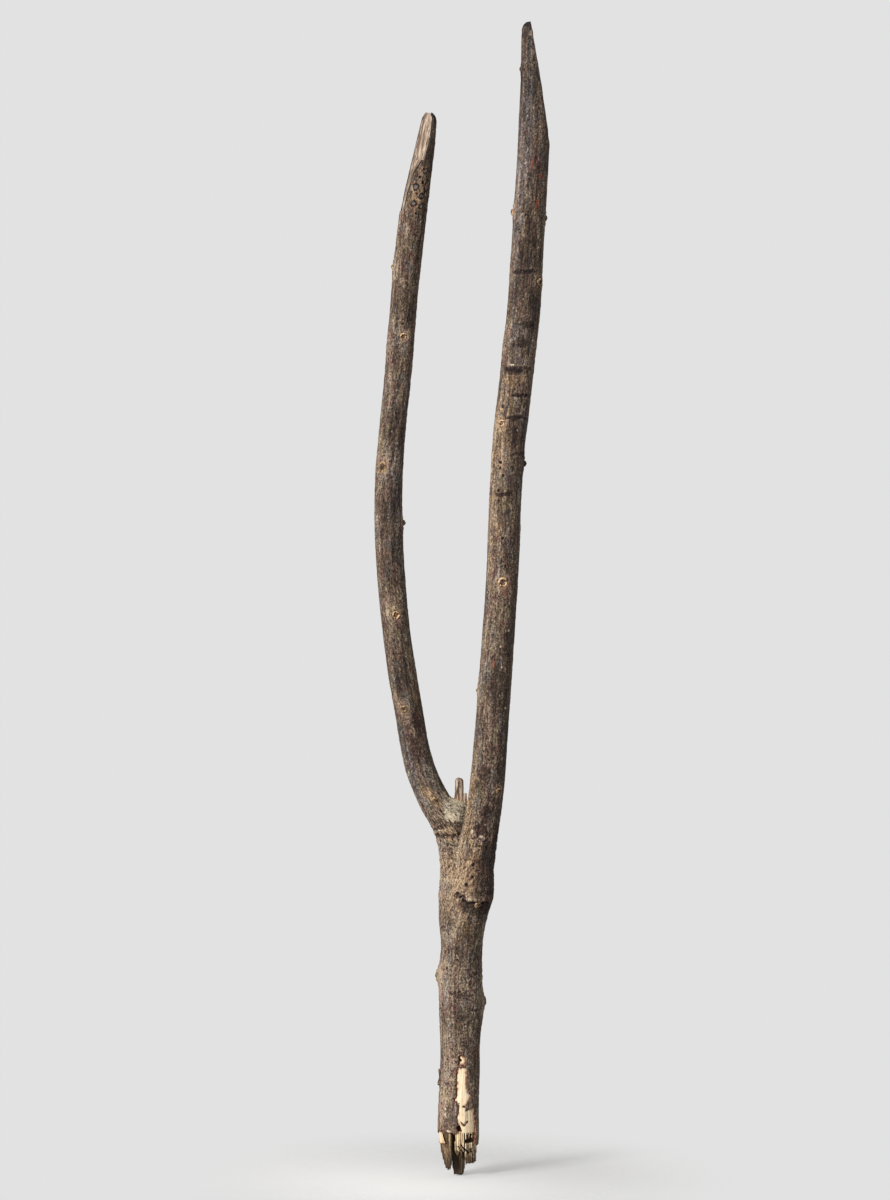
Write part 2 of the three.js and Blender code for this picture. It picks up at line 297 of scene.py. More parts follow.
# Rings across the bark, the scars of old bud scales and folds: level, bearing of the middle and
# half width in degrees, depth, and how the ring climbs from one end to the other.
RINGS = {
    RIGHT: [
        (646, -90, 180, 0.20, 0),
        (598, -98, 62, 0.45, 0),
        (555, -76, 56, 0.40, -1),
        (538, -92, 34, 0.25, 0),
        (519, -88, 54, 0.60, -2),
        (499, -62, 46, 0.55, 1),
        (482, -72, 46, 0.45, 0),
        (452, -34, 42, 0.35, 0),
        (420, -84, 26, 0.35, 0),
        (8, -80, 60, 0.25, 2),
        (22, -95, 50, 0.20, -2),
    ],
    LEFT: [
        (148, -118, 100, 0.90, 3),
        (153, -138, 44, 0.45, 3),
        (158, -150, 30, 0.25, 3),
        (544, -92, 26, 0.25, 0),
        (398, -40, 50, 0.20, 0),
    ],
}

# Marks on the bark: kind, level, bearing in degrees, half length, half width, strength. A mark's
# place in its list sets how its outline is ragged.
# Some of the dark marks are painted shade, noted where they stand.
MARKS = {
    RIGHT: [
        ("hole", 539, -150, 1.4, 1.0, 0.8),
        ("hole", 490, -129, 1.4, 1.0, 0.9),
        ("hole", 446, -117, 1.5, 1.1, 1.0),
        ("hole", 441, -116, 1.3, 1.0, 1.0),
        ("hole", 435, -103, 1.2, 1.0, 0.9),
        ("hole", 423, -119, 1.3, 1.0, 0.9),
        ("hole", 415, -116, 1.3, 1.0, 0.9),
        ("dark", 421, -81, 3.2, 2.4, 0.9),
        ("hole", 385, -95, 1.3, 1.1, 0.9),
        ("hole", 363, -81, 1.3, 1.0, 0.8),
        ("rust", 342, -75, 3.2, 1.8, 0.8),
        ("rust", 350, -80, 6.0, 5.0, 0.5),
        ("rust", 284, -104, 9.0, 1.6, 0.7),
        ("pale", 282, -72, 4.0, 0.6, 0.8),
        ("pale", 299, -81, 1.0, 0.8, 0.9),
        ("pale", 250, -43, 1.2, 1.0, 1.0),
        ("pale", 312, -54, 0.9, 0.8, 0.9),
        ("dark", 190, -128, 5.0, 2.6, 0.9),
        ("dark", 196, -104, 10.0, 6.0, 0.9),
        ("dark", 154, -93, 7.0, 5.5, 1.3),
        ("dark", 166, -86, 9.0, 4.0, 1.0),
        ("dark", 136, -66, 16.0, 5.0, 1.1),
        # painted shade on the union's right side, away from the key lamp
        ("dark", 120, -18, 44.0, 10.0, 1.0),
        ("slate", 700, -118, 60.0, 12.0, 0.55),
        ("slate", 628, -140, 18.0, 8.0, 0.5),
        # painted shade on the union's right side, away from the key lamp
        ("dark", 112, -46, 20.0, 9.0, 0.8),
        ("dark", 122, -100, 4.0, 3.0, 0.7),
        ("dark", 262, -80, 22.0, 4.0, 0.5),
        ("dark", 575, -60, 10.0, 5.0, 0.5),
        ("dark", 620, -92, 24.0, 11.0, 0.85),
        ("dark", 582, -84, 18.0, 8.0, 0.5),
        ("slate", 546, -100, 14.0, 8.0, 0.45),
        ("slate", 526, -96, 7.0, 9.0, 0.5),
        ("pale", 541, -106, 2.0, 1.0, 0.7),
        ("pale", 523.5, -112, 1.0, 3.0, 0.7),
        ("dark", 668, -95, 5.0, 4.0, 0.7),
        ("dark", 762, -75, 5.0, 4.0, 0.6),
        ("dark", 541, -88, 5.0, 6.5, 1.1),
        ("dark", 519, -92, 3.2, 11.0, 1.2),
        ("dark", 598, -98, 2.4, 10.5, 1.4),
        ("dark", 556, -72, 3.6, 8.0, 1.0),
        ("tan", 511, -95, 5.0, 10.0, 0.7),
        ("dark", 499, -74, 2.2, 6.0, 1.3),
        ("dark", 481, -76, 2.4, 7.0, 1.2),
        ("dark", 458, -66, 20.0, 6.0, 0.5),
        ("dark", 452, -22, 3.0, 3.0, 1.3),
        ("dark", 420, -100, 2.0, 8.0, 1.0),
        ("rust", 683, -95, 6.0, 0.9, 1.3),
        ("rust", 696, -90, 12.0, 0.6, 1.1),
        ("rust", 674, -58, 2.4, 1.8, 1.1),
        ("rust", 652, -64, 4.6, 1.6, 1.0),
        ("rust", 477, -127, 4.4, 3.2, 0.6),
        ("tan", 590, -30, 5.0, 3.4, 0.7),
        ("tan", 184, -48, 4.4, 3.6, 0.7),
        ("tan", 455, -135, 85.0, 10.0, 0.45),
        ("tan", 180, -150, 26.0, 6.0, 0.9),
        ("tan", 150, -140, 24.0, 6.0, 0.8),
        ("tan", 100, -150, 30.0, 16.0, 0.9),
        ("tan", 122, -110, 22.0, 9.0, 0.85),
        ("tan", 76, -100, 14.0, 10.0, 0.7),
        ("hole", 104, -176, 1.6, 1.4, 1.0),
        ("hole", 109, -158, 1.2, 1.0, 0.9),
        ("hole", 126, -97, 1.6, 1.2, 1.0),
        ("hole", 110, -108, 1.5, 1.1, 1.0),
        ("hole", 116, -92, 1.2, 1.2, 0.9),
        ("hole", 100, -118, 1.4, 1.8, 1.0),
        ("hole", 103, -130, 1.2, 1.6, 1.0),
        ("dark", 101, -122, 2.6, 7.0, 1.3),
        ("pale", 102.5, -112, 0.8, 2.4, 0.8),
        # painted shade on the union's right side, away from the key lamp
        ("dark", 112, -62, 28.0, 9.0, 0.9),
        ("dark", 118, -66, 36.0, 14.0, 0.9),
        ("dark", 118, -102, 10.0, 4.0, 0.7),
        ("dark", 130, -84, 8.0, 4.0, 0.6),
        ("dark", 106, -96, 5.0, 5.0, 0.6),
        ("hole", 97, -108, 1.2, 1.6, 1.0),
        ("pale", 152, -118, 1.4, 1.1, 1.0),
        ("pale", 148, -86, 1.0, 1.4, 1.0),
        ("pale", 98.5, -92, 0.9, 4.6, 1.0),
        ("pale", 96, -66, 1.0, 1.8, 1.0),
        ("pale", 92, -62, 1.4, 0.8, 0.9),
        ("pale", 97, -48, 0.9, 2.6, 0.7),
        ("pale", 84, -121, 0.7, 1.6, 0.8),
        ("pale", 78, -116, 0.7, 2.4, 0.8),
        ("pale", 72, -47, 0.7, 0.7, 1.0),
        ("pale", 52, -104, 2.4, 3.0, 0.5),
        ("hole", 50, -101, 0.9, 1.0, 0.7),
        ("rust", 37, -70, 5.0, 2.4, 0.4),
        ("ash", 4, -62, 24.0, 7.0, 0.35),
        ("hole", 24, -93, 0.9, 1.6, 0.5),
        ("dark", 22, -97, 4.0, 4.0, 0.9),
        ("dark", 4, -84, 3.0, 5.0, 0.9),
        ("hole", 12, -80, 0.9, 1.2, 0.5),
        ("hole", 3, -98, 0.9, 1.4, 0.4),
        ("pale", -3, -76, 1.0, 1.2, 0.6),
        ("pale", -74, -131, 1.4, 1.1, 1.0),
        ("pale", -46, -108, 1.0, 0.9, 1.0),
        ("pale", -69, -130, 0.8, 1.2, 0.6),
        ("rust", -48, -128, 6.0, 1.6, 0.5),
        ("rust", -80, -112, 4.0, 3.0, 0.4),
        ("rust", -86, -112, 2.0, 7.0, 0.5),
        ("rust", -86, -160, 2.0, 5.0, 0.5),
        ("pale", -87, -116, 1.2, 2.4, 0.7),
    ],
    LEFT: [
        ("rust", 582, -119, 1.2, 0.9, 0.7),
        ("rust", 570, -104, 1.4, 0.8, 0.7),
        ("rust", 514, -140, 2.2, 1.4, 0.8),
        ("rust", 493, -120, 2.4, 1.4, 0.7),
        ("hole", 556, -85, 1.2, 1.0, 0.9),
        ("dark", 467, -126, 7.0, 0.8, 0.9),
        ("rust", 324, -78, 4.2, 3.0, 0.6),
        ("dark", 238, -62, 15.0, 3.6, 1.0),
        ("rust", 236, -58, 13.0, 2.4, 0.6),
        ("dark", 400, -108, 20.0, 4.0, 0.6),
        ("dark", 366, -112, 16.0, 4.0, 0.5),
        ("rust", 380, -108, 14.0, 3.0, 0.35),
        ("dark", 215, -95, 26.0, 5.0, 0.9),
        ("tan", 270, -40, 44.0, 5.0, 0.8),
        ("slate", 205, -140, 34.0, 8.0, 0.5),
        ("slate", 430, -62, 60.0, 7.0, 0.45),
        ("dark", 192, -104, 6.0, 4.0, 0.6),
        ("pale", 198, -146, 1.0, 0.9, 0.9),
        ("tan", 176, -84, 5.0, 3.6, 0.7),
        ("pale", 163, -70, 5.0, 4.6, 0.75),
        ("pale", 174, -28, 5.0, 6.0, 0.6),
        ("hole", 167, -16, 1.2, 1.2, 1.0),
        ("hole", 163, -10, 1.4, 1.0, 1.0),
        ("hole", 159, -24, 1.2, 2.0, 1.0),
        ("hole", 156, -36, 1.0, 1.8, 0.9),
        # painted shadow under the left limb's collar
        ("dark", 147, -84, 3.6, 9.0, 0.6),
        ("pale", 141, -70, 0.9, 1.6, 1.0),
        ("pale", 152, -128, 0.6, 3.0, 0.8),
        ("tan", 658, -80, 14.0, 6.0, 0.6),
        ("dark", 692, -52, 26.0, 6.0, 0.5),
        ("ash", 290, -44, 34.0, 5.0, 0.45),
        ("ash", 360, -42, 34.0, 4.0, 0.4),
        ("ash", 222, -38, 26.0, 4.0, 0.45),
        ("rust", 668, -86, 2.0, 1.4, 0.6),
        ("tan", 656, -78, 4.0, 4.0, 0.8),
        ("rust", 655, -80, 1.6, 1.4, 0.7),
        ("rust", 645, -84, 1.6, 1.6, 0.6),
        ("hole", 672, -80, 1.2, 1.4, 1.0),
        ("hole", 668, -62, 1.2, 1.2, 1.0),
        ("hole", 659, -82, 1.2, 1.2, 1.0),
        ("hole", 643, -76, 1.4, 1.0, 0.8),
        ("pale", 681, -40, 0.9, 0.9, 0.8),
        ("tan", 120, -120, 16.0, 9.0, 0.5),
        ("ash", 172, -38, 14.0, 9.0, 0.95),
        ("pale", 181, -36, 2.4, 2.6, 0.9),
        ("pale", 174, -22, 3.0, 2.4, 0.9),
        ("ash", 190, -52, 14.0, 4.0, 0.8),
        ("tan", 181, -100, 6.0, 7.0, 0.75),
        ("tan", 150, -110, 8.0, 12.0, 0.5),
    ],
}
MARK_KINDS = ("hole", "dark", "pale", "rust", "tan", "ash", "slate")

HIGHLIGHT_BEARING = math.radians(-176)  # the left side, which is painted lighter: a painted highlight where the key lamp's light falls
GALLS_AT, SWELLING_AT, COLLAR_AT = 662, 350, 156  # levels where the tines' bark is crusty
NEAR = 22  # how far up and down the bark a knot or the scar makes itself felt
RING_SEED, MARK_SEED, MARK_LUMP_SEED = 40, 90, 190  # the first ring's and the first mark's seeds

# How much lighter or darker than elsewhere the bark is at each level.
WEATHER = {
    RIGHT: [
        (-100, 0.16), (0, 0.12), (50, 0.04), (80, 0.08), (110, 0.22), (155, -0.03), (210, -0.10),
        (270, -0.01), (340, -0.01), (415, 0.08), (470, -0.02), (520, 0), (590, -0.06), (675, 0.03),
        (730, -0.12),
    ],
    LEFT: [
        (60, 0.14), (110, 0.22), (155, 0.0), (220, -0.12), (290, -0.04), (360, -0.03), (450, -0.02),
        (540, 0.0), (600, 0.02), (660, 0), (725, -0.08),
    ],
}

SCAR = {"level": 96.5, "bearing": math.radians(-74), "half": math.radians(62)}


def ring_across(level, bearing, ring, seed):
    """A groove across the bark with a lip on each side, and how strongly it darkens the bark, partly as
    painted shade in and along the groove.
    """
    at, middle, half, depth, climb = ring
    turn = turned(bearing, math.radians(middle)) / math.radians(half)
    around = spread(bearing * 12, at)
    crumbs = layered(spread(bearing * 12, level), 1.5, seed + 7, 2)
    off = level - at - (0.8 + 1.6 * depth) * layered(around, (4.5, 1, 1), seed, 3) - climb * turn
    held = 1 - smoothstep(0.6, 1.05, np.abs(turn)) if half < 180 else 1.0
    width = 0.8 + 0.6 * depth
    groove = held * bump(off, width) * np.clip(0.75 + 1.1 * crumbs, 0, 1.3)
    lips = held * (bump(off - 2 * width, width) + bump(off + 2 * width, width))
    # dark of the ring and painted shade along its groove
    stain_and_shade = held * bump(off - 0.6, 1.9 * width) * np.clip(0.6 + 1.2 * crumbs, 0, 1)
    return depth * (0.4 * lips - groove), np.maximum(groove, 0.9 * stain_and_shade) * min(1, 2 * depth)


def scar(level, bearing, radius):
    """The ledge of an old scar across the union, overhanging a hollow: relief, painted shade under the
    ledge, and hollow.
    """
    turn = np.abs(turned(bearing, SCAR["bearing"])) / SCAR["half"]
    held = 1 - smoothstep(0.4, 1.05, turn)
    wander = layered(spread(bearing * radius), 5, 71, 4)
    leftward = sweep(bearing, -92, -135)
    off = level - SCAR["level"] - 2.2 * wander - 7.0 * leftward
    over = bump(off - 1.6, 3.2) * (off > 0) + bump(off - 1.6, 1.4) * (off <= 0)
    under = smoothstep(0, -0.9, off) * (1 - smoothstep(-4, -13, off))
    crumbs = layered(spread(bearing * radius, level), 2.2, 73, 2)
    push = held * (0.6 * over - 1.3 * under * (1 - 0.7 * leftward) + 2.4 * crumbs * bump(off, 3.2))
    # painted shade: darkest just under the ledge, fading down the hollow
    fading = 1.3 - 0.6 * smoothstep(-0.8, -3, off) - 0.7 * smoothstep(-3, -20, off)
    return push, held * smoothstep(0.4, -0.4, off) * fading, held * under


def crust_at(limb, level):
    """How crusty the bark is: most on the union, less on the handle and little on the tines."""
    union = smoothstep(66, 84, level) * (1 - smoothstep(118, 190, level))
    handle = 0.42 * (1 - smoothstep(60, 80, level))
    blisters = 0.7 * bump(level - GALLS_AT, 20) if limb is LEFT else 0.35 * bump(level - SWELLING_AT, 14)
    collar = bump(level - COLLAR_AT, 9) * (limb is LEFT)
    return 0.22 + 0.78 * np.clip(union + handle + blisters + collar, 0, 1)


def plain_bark(limb, level, at):
    """Relief of the bark between its marks: folds, creases, pores, grit and pits, and its crustiness."""
    lumps = layered(at, (15, 15, 30), 3, 2)
    folds = layered(at, (3.6, 3.6, 34), 11, 3)
    creases = np.clip(1 - 7 * np.abs(layered(at, (3.2, 3.2, 24), 23, 2)), 0, 1)
    pores = layered(at, (1.7, 1.7, 2.8), 31, 2)
    crust = crust_at(limb, level) * (0.6 + 0.8 * np.clip(lumps * 1.5, -0.4, 0.6))
    grit = layered(at, (2.1, 2.1, 2.5), 37, 3)
    pits = smoothstep(0.30, 0.52, noise(at / (1.5, 1.5, 1.9), 43))
    out = 0.5 * lumps + (0.34 - 0.14 * crust) * folds - 0.2 * creases * smoothstep(-0.3, 0.3, lumps)
    out += 0.24 * pores + crust * (0.6 * grit - 0.6 * pits)
    return out, crust


def strengthen(mark, near, amount):
    """Raises a mark at some places to the amount, where it is weaker."""
    mark[near] = np.maximum(mark[near], amount)


def add_rings(limb, level, bearing, out, marks):
    """Cuts the limb's rings into the bark and darkens them, partly with painted shade in their grooves."""
    for seed, ring in enumerate(RINGS[limb], RING_SEED):
        near = np.abs(level - ring[0]) < 12
        push, shade = ring_across(level[near], bearing[near], ring, seed)
        out[near] += push
        strengthen(marks["dark"], near, shade)


def add_marks(limb, level, bearing, radius, at, out, marks):
    """Spreads the limb's marks, each with a ragged outline, and sinks the holes."""
    for number, (kind, middle, aim, long, wide, strength) in enumerate(MARKS[limb]):
        near = np.abs(level - middle) < long * 2.5
        across = turned(bearing[near], math.radians(aim)) * radius[near]
        lumps = (0.7 * wide + 1, 0.7 * wide + 1, 0.7 * long + 1)
        ragged = 0.5 * layered(at[near], (2.0, 2.0, 3.5), MARK_SEED + number, 2)
        ragged += 0.5 * layered(at[near], lumps, MARK_LUMP_SEED + number, 2)
        off = np.hypot((level[near] - middle) / long, across / wide) + ragged
        amount = strength * (1 - smoothstep(0.55, 1.25, off))
        strengthen(marks[kind], near, amount)
        if kind == "hole":
            out[near] += 0.25 * bump(off - 1.35, 0.45) - 0.8 * amount


def add_knots(limb, level, bearing, radius, at, out, marks):
    """Swells the bark round each knot, bud and gall, and sinks it under their faces."""
    for spot in SPOTS[limb]:
        near = np.abs(level - spot.level) < NEAR
        off = spot.distance(level[near], bearing[near], radius[near])
        crumbs = layered(at[near], (1.7, 1.7, 2.2), 61, 2)
        swelling = (0.35 if "bud" in spot.node else 0.12) * spot.size * bump(off, spot.size * 2.6)
        collar = (0.12 + 0.16 * crumbs) * spot.size * bump(off - spot.size * 1.35, 1.5)
        pit = 1 - smoothstep(spot.size * 0.7, spot.size * 0.95, off + 0.5 * crumbs)
        out[near] += swelling + collar - (0.6 + out[near]) * pit
        shown = np.clip(0.75 + 1.3 * crumbs, 0, 1) * bump(off, spot.size * 1.8)
        strengthen(marks["knot"], near, shown)


def add_scar(level, bearing, radius, out, marks):
    """Raises the scar's ledge, paints shade into the hollow under it and smooths that hollow."""
    near = np.abs(level - SCAR["level"]) < NEAR
    push, shade, hollow = scar(level[near], bearing[near], radius[near])
    out[near] = out[near] * (1 - 0.7 * hollow) + push
    strengthen(marks["dark"], near, shade)


def bark_of(limb, level, bearing, radius):
    """How far the bark stands out from the limb's round at each place, and its marks, from 0 to 1."""
    wander = 0.10 * noise(np.c_[np.cos(bearing), np.sin(bearing), level / 45], 5)
    turn = bearing + wander
    at = np.c_[radius * np.cos(turn), radius * np.sin(turn), level]
    out, crust = plain_bark(limb, level, at)
    marks = {kind: np.zeros(len(level)) for kind in (*MARK_KINDS, "knot")}
    marks["crust"] = crust
    # painted highlight: the bark's left side lighter, fading out near the tops of the tines
    painted_highlight = np.clip(np.cos(bearing - HIGHLIGHT_BEARING), 0, 1) ** 2 * smoothstep(760, 690, level)
    marks["weather_and_painted_light"] = 0.13 * painted_highlight + np.interp(level, *np.transpose(WEATHER[limb]))
    add_rings(limb, level, bearing, out, marks)
    add_marks(limb, level, bearing, radius, at, out, marks)
    add_knots(limb, level, bearing, radius, at, out, marks)
    if limb is RIGHT:
        add_scar(level, bearing, radius, out, marks)
    return np.maximum(out, DEEPEST), marks


# ---------------------------------------------------------------- meshes


def signed_volume(points, faces):
    """Volume inside closed faces, negative if they face inwards."""
    first = points[faces[:, 0]]
    total = 0.0
    for second in range(1, faces.shape[1] - 1):
        sides = np.cross(points[faces[:, second]], points[faces[:, second + 1]])
        total += np.einsum("ij,ij->", first, sides)
    return total / 6


def new_piece(name, points, *face_sets):
    """An object of one closed mesh, its points in millimetres and its faces turned outwards."""
    if sum(signed_volume(points, faces) for faces in face_sets) < 0:
        face_sets = [faces[:, ::-1] for faces in face_sets]
    corners = np.concatenate([faces.ravel() for faces in face_sets])
    sizes = np.concatenate([np.full(len(faces), faces.shape[1]) for faces in face_sets])
    mesh = bpy.data.meshes.new(name)
    mesh.vertices.add(len(points))
    mesh.vertices.foreach_set("co", (points * MM).ravel())
    mesh.loops.add(len(corners))
    mesh.loops.foreach_set("vertex_index", corners.astype(np.int32))
    mesh.polygons.add(len(sizes))
    mesh.polygons.foreach_set("loop_start", np.r_[0, np.cumsum(sizes)[:-1]].astype(np.int32))
    mesh.update(calc_edges=True)
    mesh.validate()
    piece = bpy.data.objects.new(name, mesh)
    bpy.context.collection.objects.link(piece)
    return piece


def grid_faces(rows, columns, wrap_rows=False):
    """Quads over a grid of points that wraps round from its last column to its first."""
    r, c = np.meshgrid(np.arange(rows if wrap_rows else rows - 1), np.arange(columns), indexing="ij")
    below, beside = (r + 1) % rows, (c + 1) % columns
    faces = (r * columns + c, r * columns + beside, below * columns + beside, below * columns + c)
    return np.stack(faces, axis=-1).reshape(-1, 4)


def capped(name, rows_of_points):
    """A solid lofted through rings of points, closed by a fan at each end."""
    rows, columns, _ = rows_of_points.shape
    ends = rows_of_points[[0, -1]].mean(axis=1)
    points = np.concatenate([rows_of_points.reshape(-1, 3), ends])
    here = np.arange(columns)
    beside = (here + 1) % columns
    low_hub, last = rows * columns, (rows - 1) * columns
    low = np.stack([beside, here, np.full(columns, low_hub)], axis=-1)
    high = np.stack([last + here, last + beside, np.full(columns, low_hub + 1)], axis=-1)
    return new_piece(name, points, grid_faces(rows, columns), np.concatenate([low, high]))


def cut(piece, cutter, operation="DIFFERENCE"):
    """Cuts a piece with a cutter, which is used up."""
    modifier = piece.modifiers.new("cut", "BOOLEAN")
    modifier.object, modifier.operation, modifier.solver = cutter, operation, "MANIFOLD"
    ready = piece.evaluated_get(bpy.context.evaluated_depsgraph_get())
    before, piece.data = piece.data, bpy.data.meshes.new_from_object(ready)
    piece.modifiers.clear()
    bpy.data.meshes.remove(before)
    piece.data.name = piece.name
    bpy.data.meshes.remove(cutter.data)


def paint(piece, **values):
    """Stores one number or vector for each point under each name, for the materials to read."""
    for name, value in values.items():
        kind, key = ("FLOAT_VECTOR", "vector") if value.ndim == 2 else ("FLOAT", "value")
        layer = piece.data.attributes.new(name, kind, "POINT")
        layer.data.foreach_set(key, value.astype(np.float32).ravel())


def finish(piece, material, slot, *nodes):
    """Shades a piece, gives it its material and ties it to the frame."""
    piece.data.materials.clear()
    piece.data.materials.append(material)
    piece.data.shade_smooth()
    piece.data.set_sharp_from_angle(angle=math.radians(58))
    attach(piece, "root")
    if nodes:
        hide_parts(*nodes)
    return piece


def carve(field, low, high, step):
    """Points and quads of the closed surface where a field of x, y, z crosses zero from below."""
    axes = [np.arange(a, b + step, step) for a, b in zip(low, high)]
    value = field(axes[0][:, None, None], axes[1][None, :, None], axes[2][None, None, :])
    corners, places = [], []
    for axis in range(3):
        ahead = np.roll(value, -1, axis)
        crossing = (value < 0) != (ahead < 0)
        np.moveaxis(crossing, axis, 0)[-1] = False
        start = np.argwhere(crossing)
        here, there = value[crossing], ahead[crossing]
        place = start.astype(float)
        place[:, axis] += here / (here - there)
        around = []
        for back in ((0, 0), (1, 0), (1, 1), (0, 1)):
            cell = start.copy()
            cell[:, (axis + 1) % 3] -= back[0]
            cell[:, (axis + 2) % 3] -= back[1]
            around.append(np.ravel_multi_index(cell.T, value.shape))
        quads = np.stack(around, axis=-1)
        quads[here > 0] = quads[here > 0][:, ::-1]
        corners.append(quads)
        places.append(np.repeat(place, 4, axis=0))
    _, owner = np.unique(np.concatenate(corners), return_inverse=True)
    owner, places = owner.ravel(), np.concatenate(places)
    shared = np.bincount(owner)
    points = np.stack([np.bincount(owner, places[:, k]) / shared for k in range(3)], axis=-1)
    return points * step + np.array([axis[0] for axis in axes]), owner.reshape(-1, 4)


# ---------------------------------------------------------------- bark of the handle and the tines


def dome(level, tip, height):
    """How much of a limb's radius is left at each level below its rounded tip."""
    up = np.clip((level - tip + height) / height, 0, 1)
    return (1 - up**2.1) ** (1 / 2.1)


def paint_bark(piece, limb):
    """Stores what the bark's material needs: grain, relief, marks and how deep under the outside."""
    points = points_in(piece)
    bearing, far, radius = limb.around(points)
    out, marks = bark_of(limb, points[:, 2], bearing, radius)
    depth = np.clip(radius + out - far, 0, 3)
    raw = (points[:, 2] < 0).astype(float)
    paint(piece, grain=limb.grain(points), relief=out, depth=depth, raw=raw, **marks)


def sleeve(name, limb, low, high, tip=None):
    """A closed sleeve of bark between two levels. The lower one may depend on the bearing."""
    start = BREAK if callable(low) else low
    columns = int(TAU * limb.at(np.linspace(start, high, 9))[2].mean() / FINE)
    bearing = np.linspace(-math.pi, math.pi, columns, endpoint=False)[None]
    edge = low(bearing) if callable(low) else np.full((1, columns), float(low))
    base = float(edge.mean())

    def levels(spacing, drop):
        level = np.linspace(base, high, int((high - base) / spacing) + 1)[:, None]
        return level + (edge - drop - base) * (1 - smoothstep(0, EDGE_FADES, level - base))

    def ring_points(level, distance):
        return limb.place(level, bearing + 0 * level, distance)

    outside = levels(FINE, 0)
    flat_level, flat_bearing = outside.ravel(), (bearing + 0 * outside).ravel()
    radius = limb.at(outside)[2]
    out, _ = bark_of(limb, flat_level, flat_bearing, radius.ravel())
    reach = radius + out.reshape(outside.shape)
    drop = 0.7 + 0.9 * layered(spread(bearing.ravel() * 16), 3, 77)
    inside = levels(COARSE, np.clip(drop, 0.1, 2)[None] if callable(low) else 0)[::-1]
    inner = limb.at(inside)[2] - BARK
    if tip:
        reach = reach * dome(outside, tip, TIP_DOME)
        inner = np.minimum(inner, limb.at(inside)[2] * dome(inside, tip, TIP_DOME) - 0.2)
    points = np.concatenate([ring_points(outside, reach), ring_points(inside, inner)])
    rows = len(outside) + len(inside)
    return new_piece(name, points, grid_faces(rows, columns, wrap_rows=True))


def lower_edge(bearing):
    """Level of the ragged lower edge of the handle's bark: higher on the left than on the right."""
    at = spread(bearing.ravel() * 16)
    ragged = 1.6 * layered(at, 7, 61) + 1.1 * layered(at, 1.6, 62, 2)
    right = np.where(bearing > 0, sweep(bearing, 120, 70), sweep(bearing, -96, -55))
    far = sweep(bearing, -45, -8) * (bearing < 0)
    near_left = bump(turned(bearing, math.radians(-176)) / math.radians(9), 1)
    edge = -86.9 - 5.6 * right - 6.0 * far - 3.6 * near_left - 3.5 * (bearing > 0) * right
    return edge + ragged.reshape(bearing.shape)


# Outlines of the torn window in the handle's bark, as x and level: a small upper patch, and below a
# bridge of bark the main strip, which steps out to the right and runs out through the break.
WINDOWS = [
    [(-1.8, -27.4), (0.2, -26.6), (3.0, -27.4), (3.7, -30), (3.5, -34), (0.6, -33.7), (-2.2, -33.4)],
    [
        (-2.8, -36.0), (0.4, -35.3), (3.6, -35.8), (5.6, -39.6), (5.2, -45.6), (5.4, -52.6), (7.2, -58.4),
        (6.6, -63.6), (3.6, -66.2), (4.8, -68.4), (9.0, -69.2), (10.0, -67.4), (12.0, -70.8), (13.0, -82),
        (13.6, -95), (14.0, -112), (-3.0, -112), (-2.6, -86), (-2.4, -73.6), (-2.2, -66.8), (-4.8, -62),
        (-3.8, -57.4), (-3.2, -47.6),
    ],
]
WINDOW_SEEDS = (80, 100)
# The cutter's rings, from the front to the back: y, how much wider it is, and what shifts its seed.
CUTTER_RINGS = ((-24, 1.8, 0), (-17.2, 1.5, 0), (-15.2, 0.0, 9), (-8, -0.3, 9))
INNER_SHIFT = CUTTER_RINGS[-1][2]  # that of the rings which cut through the bark's inside


def resampled(outline, spacing):
    """Points along a closed outline at an even spacing."""
    corners = np.array(outline + outline[:1], float)
    lengths = np.hypot(*np.diff(corners, axis=0).T)
    run = np.r_[0, np.cumsum(lengths)]
    at = np.linspace(0, run[-1], int(run[-1] / spacing), endpoint=False)
    return np.c_[np.interp(at, run, corners[:, 0]), np.interp(at, run, corners[:, 1])]


def torn(outline, seed, widen):
    """A window's outline at an even spacing, widened and made ragged."""
    edge = resampled(outline, FINE)
    along = np.roll(edge, -1, axis=0) - np.roll(edge, 1, axis=0)
    along /= np.hypot(*along.T)[:, None]
    area = np.sum(edge[:, 0] * np.roll(edge[:, 1], -1) - edge[:, 1] * np.roll(edge[:, 0], -1))
    outward = np.c_[along[:, 1], -along[:, 0]] * math.copysign(1, area)
    ragged = 1.9 * layered(spread(*edge.T), (1.8, 2.0, 1), seed, 3)
    return edge + outward * (widen + ragged)[:, None]


def window_cutter(outline, seed):
    """A plug with ragged sides that opens a window in the front of the bark, wider at the outside."""
    rows = []
    for y, widen, shift in CUTTER_RINGS:
        ring = torn(outline, seed + shift, widen)
        rows.append(np.c_[ring[:, 0], np.full(len(ring), float(y)), ring[:, 1]])
    return plug("window_cutter", rows)


def plug(name, rows):
    """A solid between rings of points, closed by one flat face at each end."""
    columns = len(rows[0])
    last = (len(rows) - 1) * columns
    ends = np.stack([np.arange(columns)[::-1], last + np.arange(columns)])
    return new_piece(name, np.concatenate(rows), grid_faces(len(rows), columns), ends)


OVERRUN = 3.0  # how far a flat runs on past its upper level
KNIFE = 20.0  # half the width of the block that cuts a flat


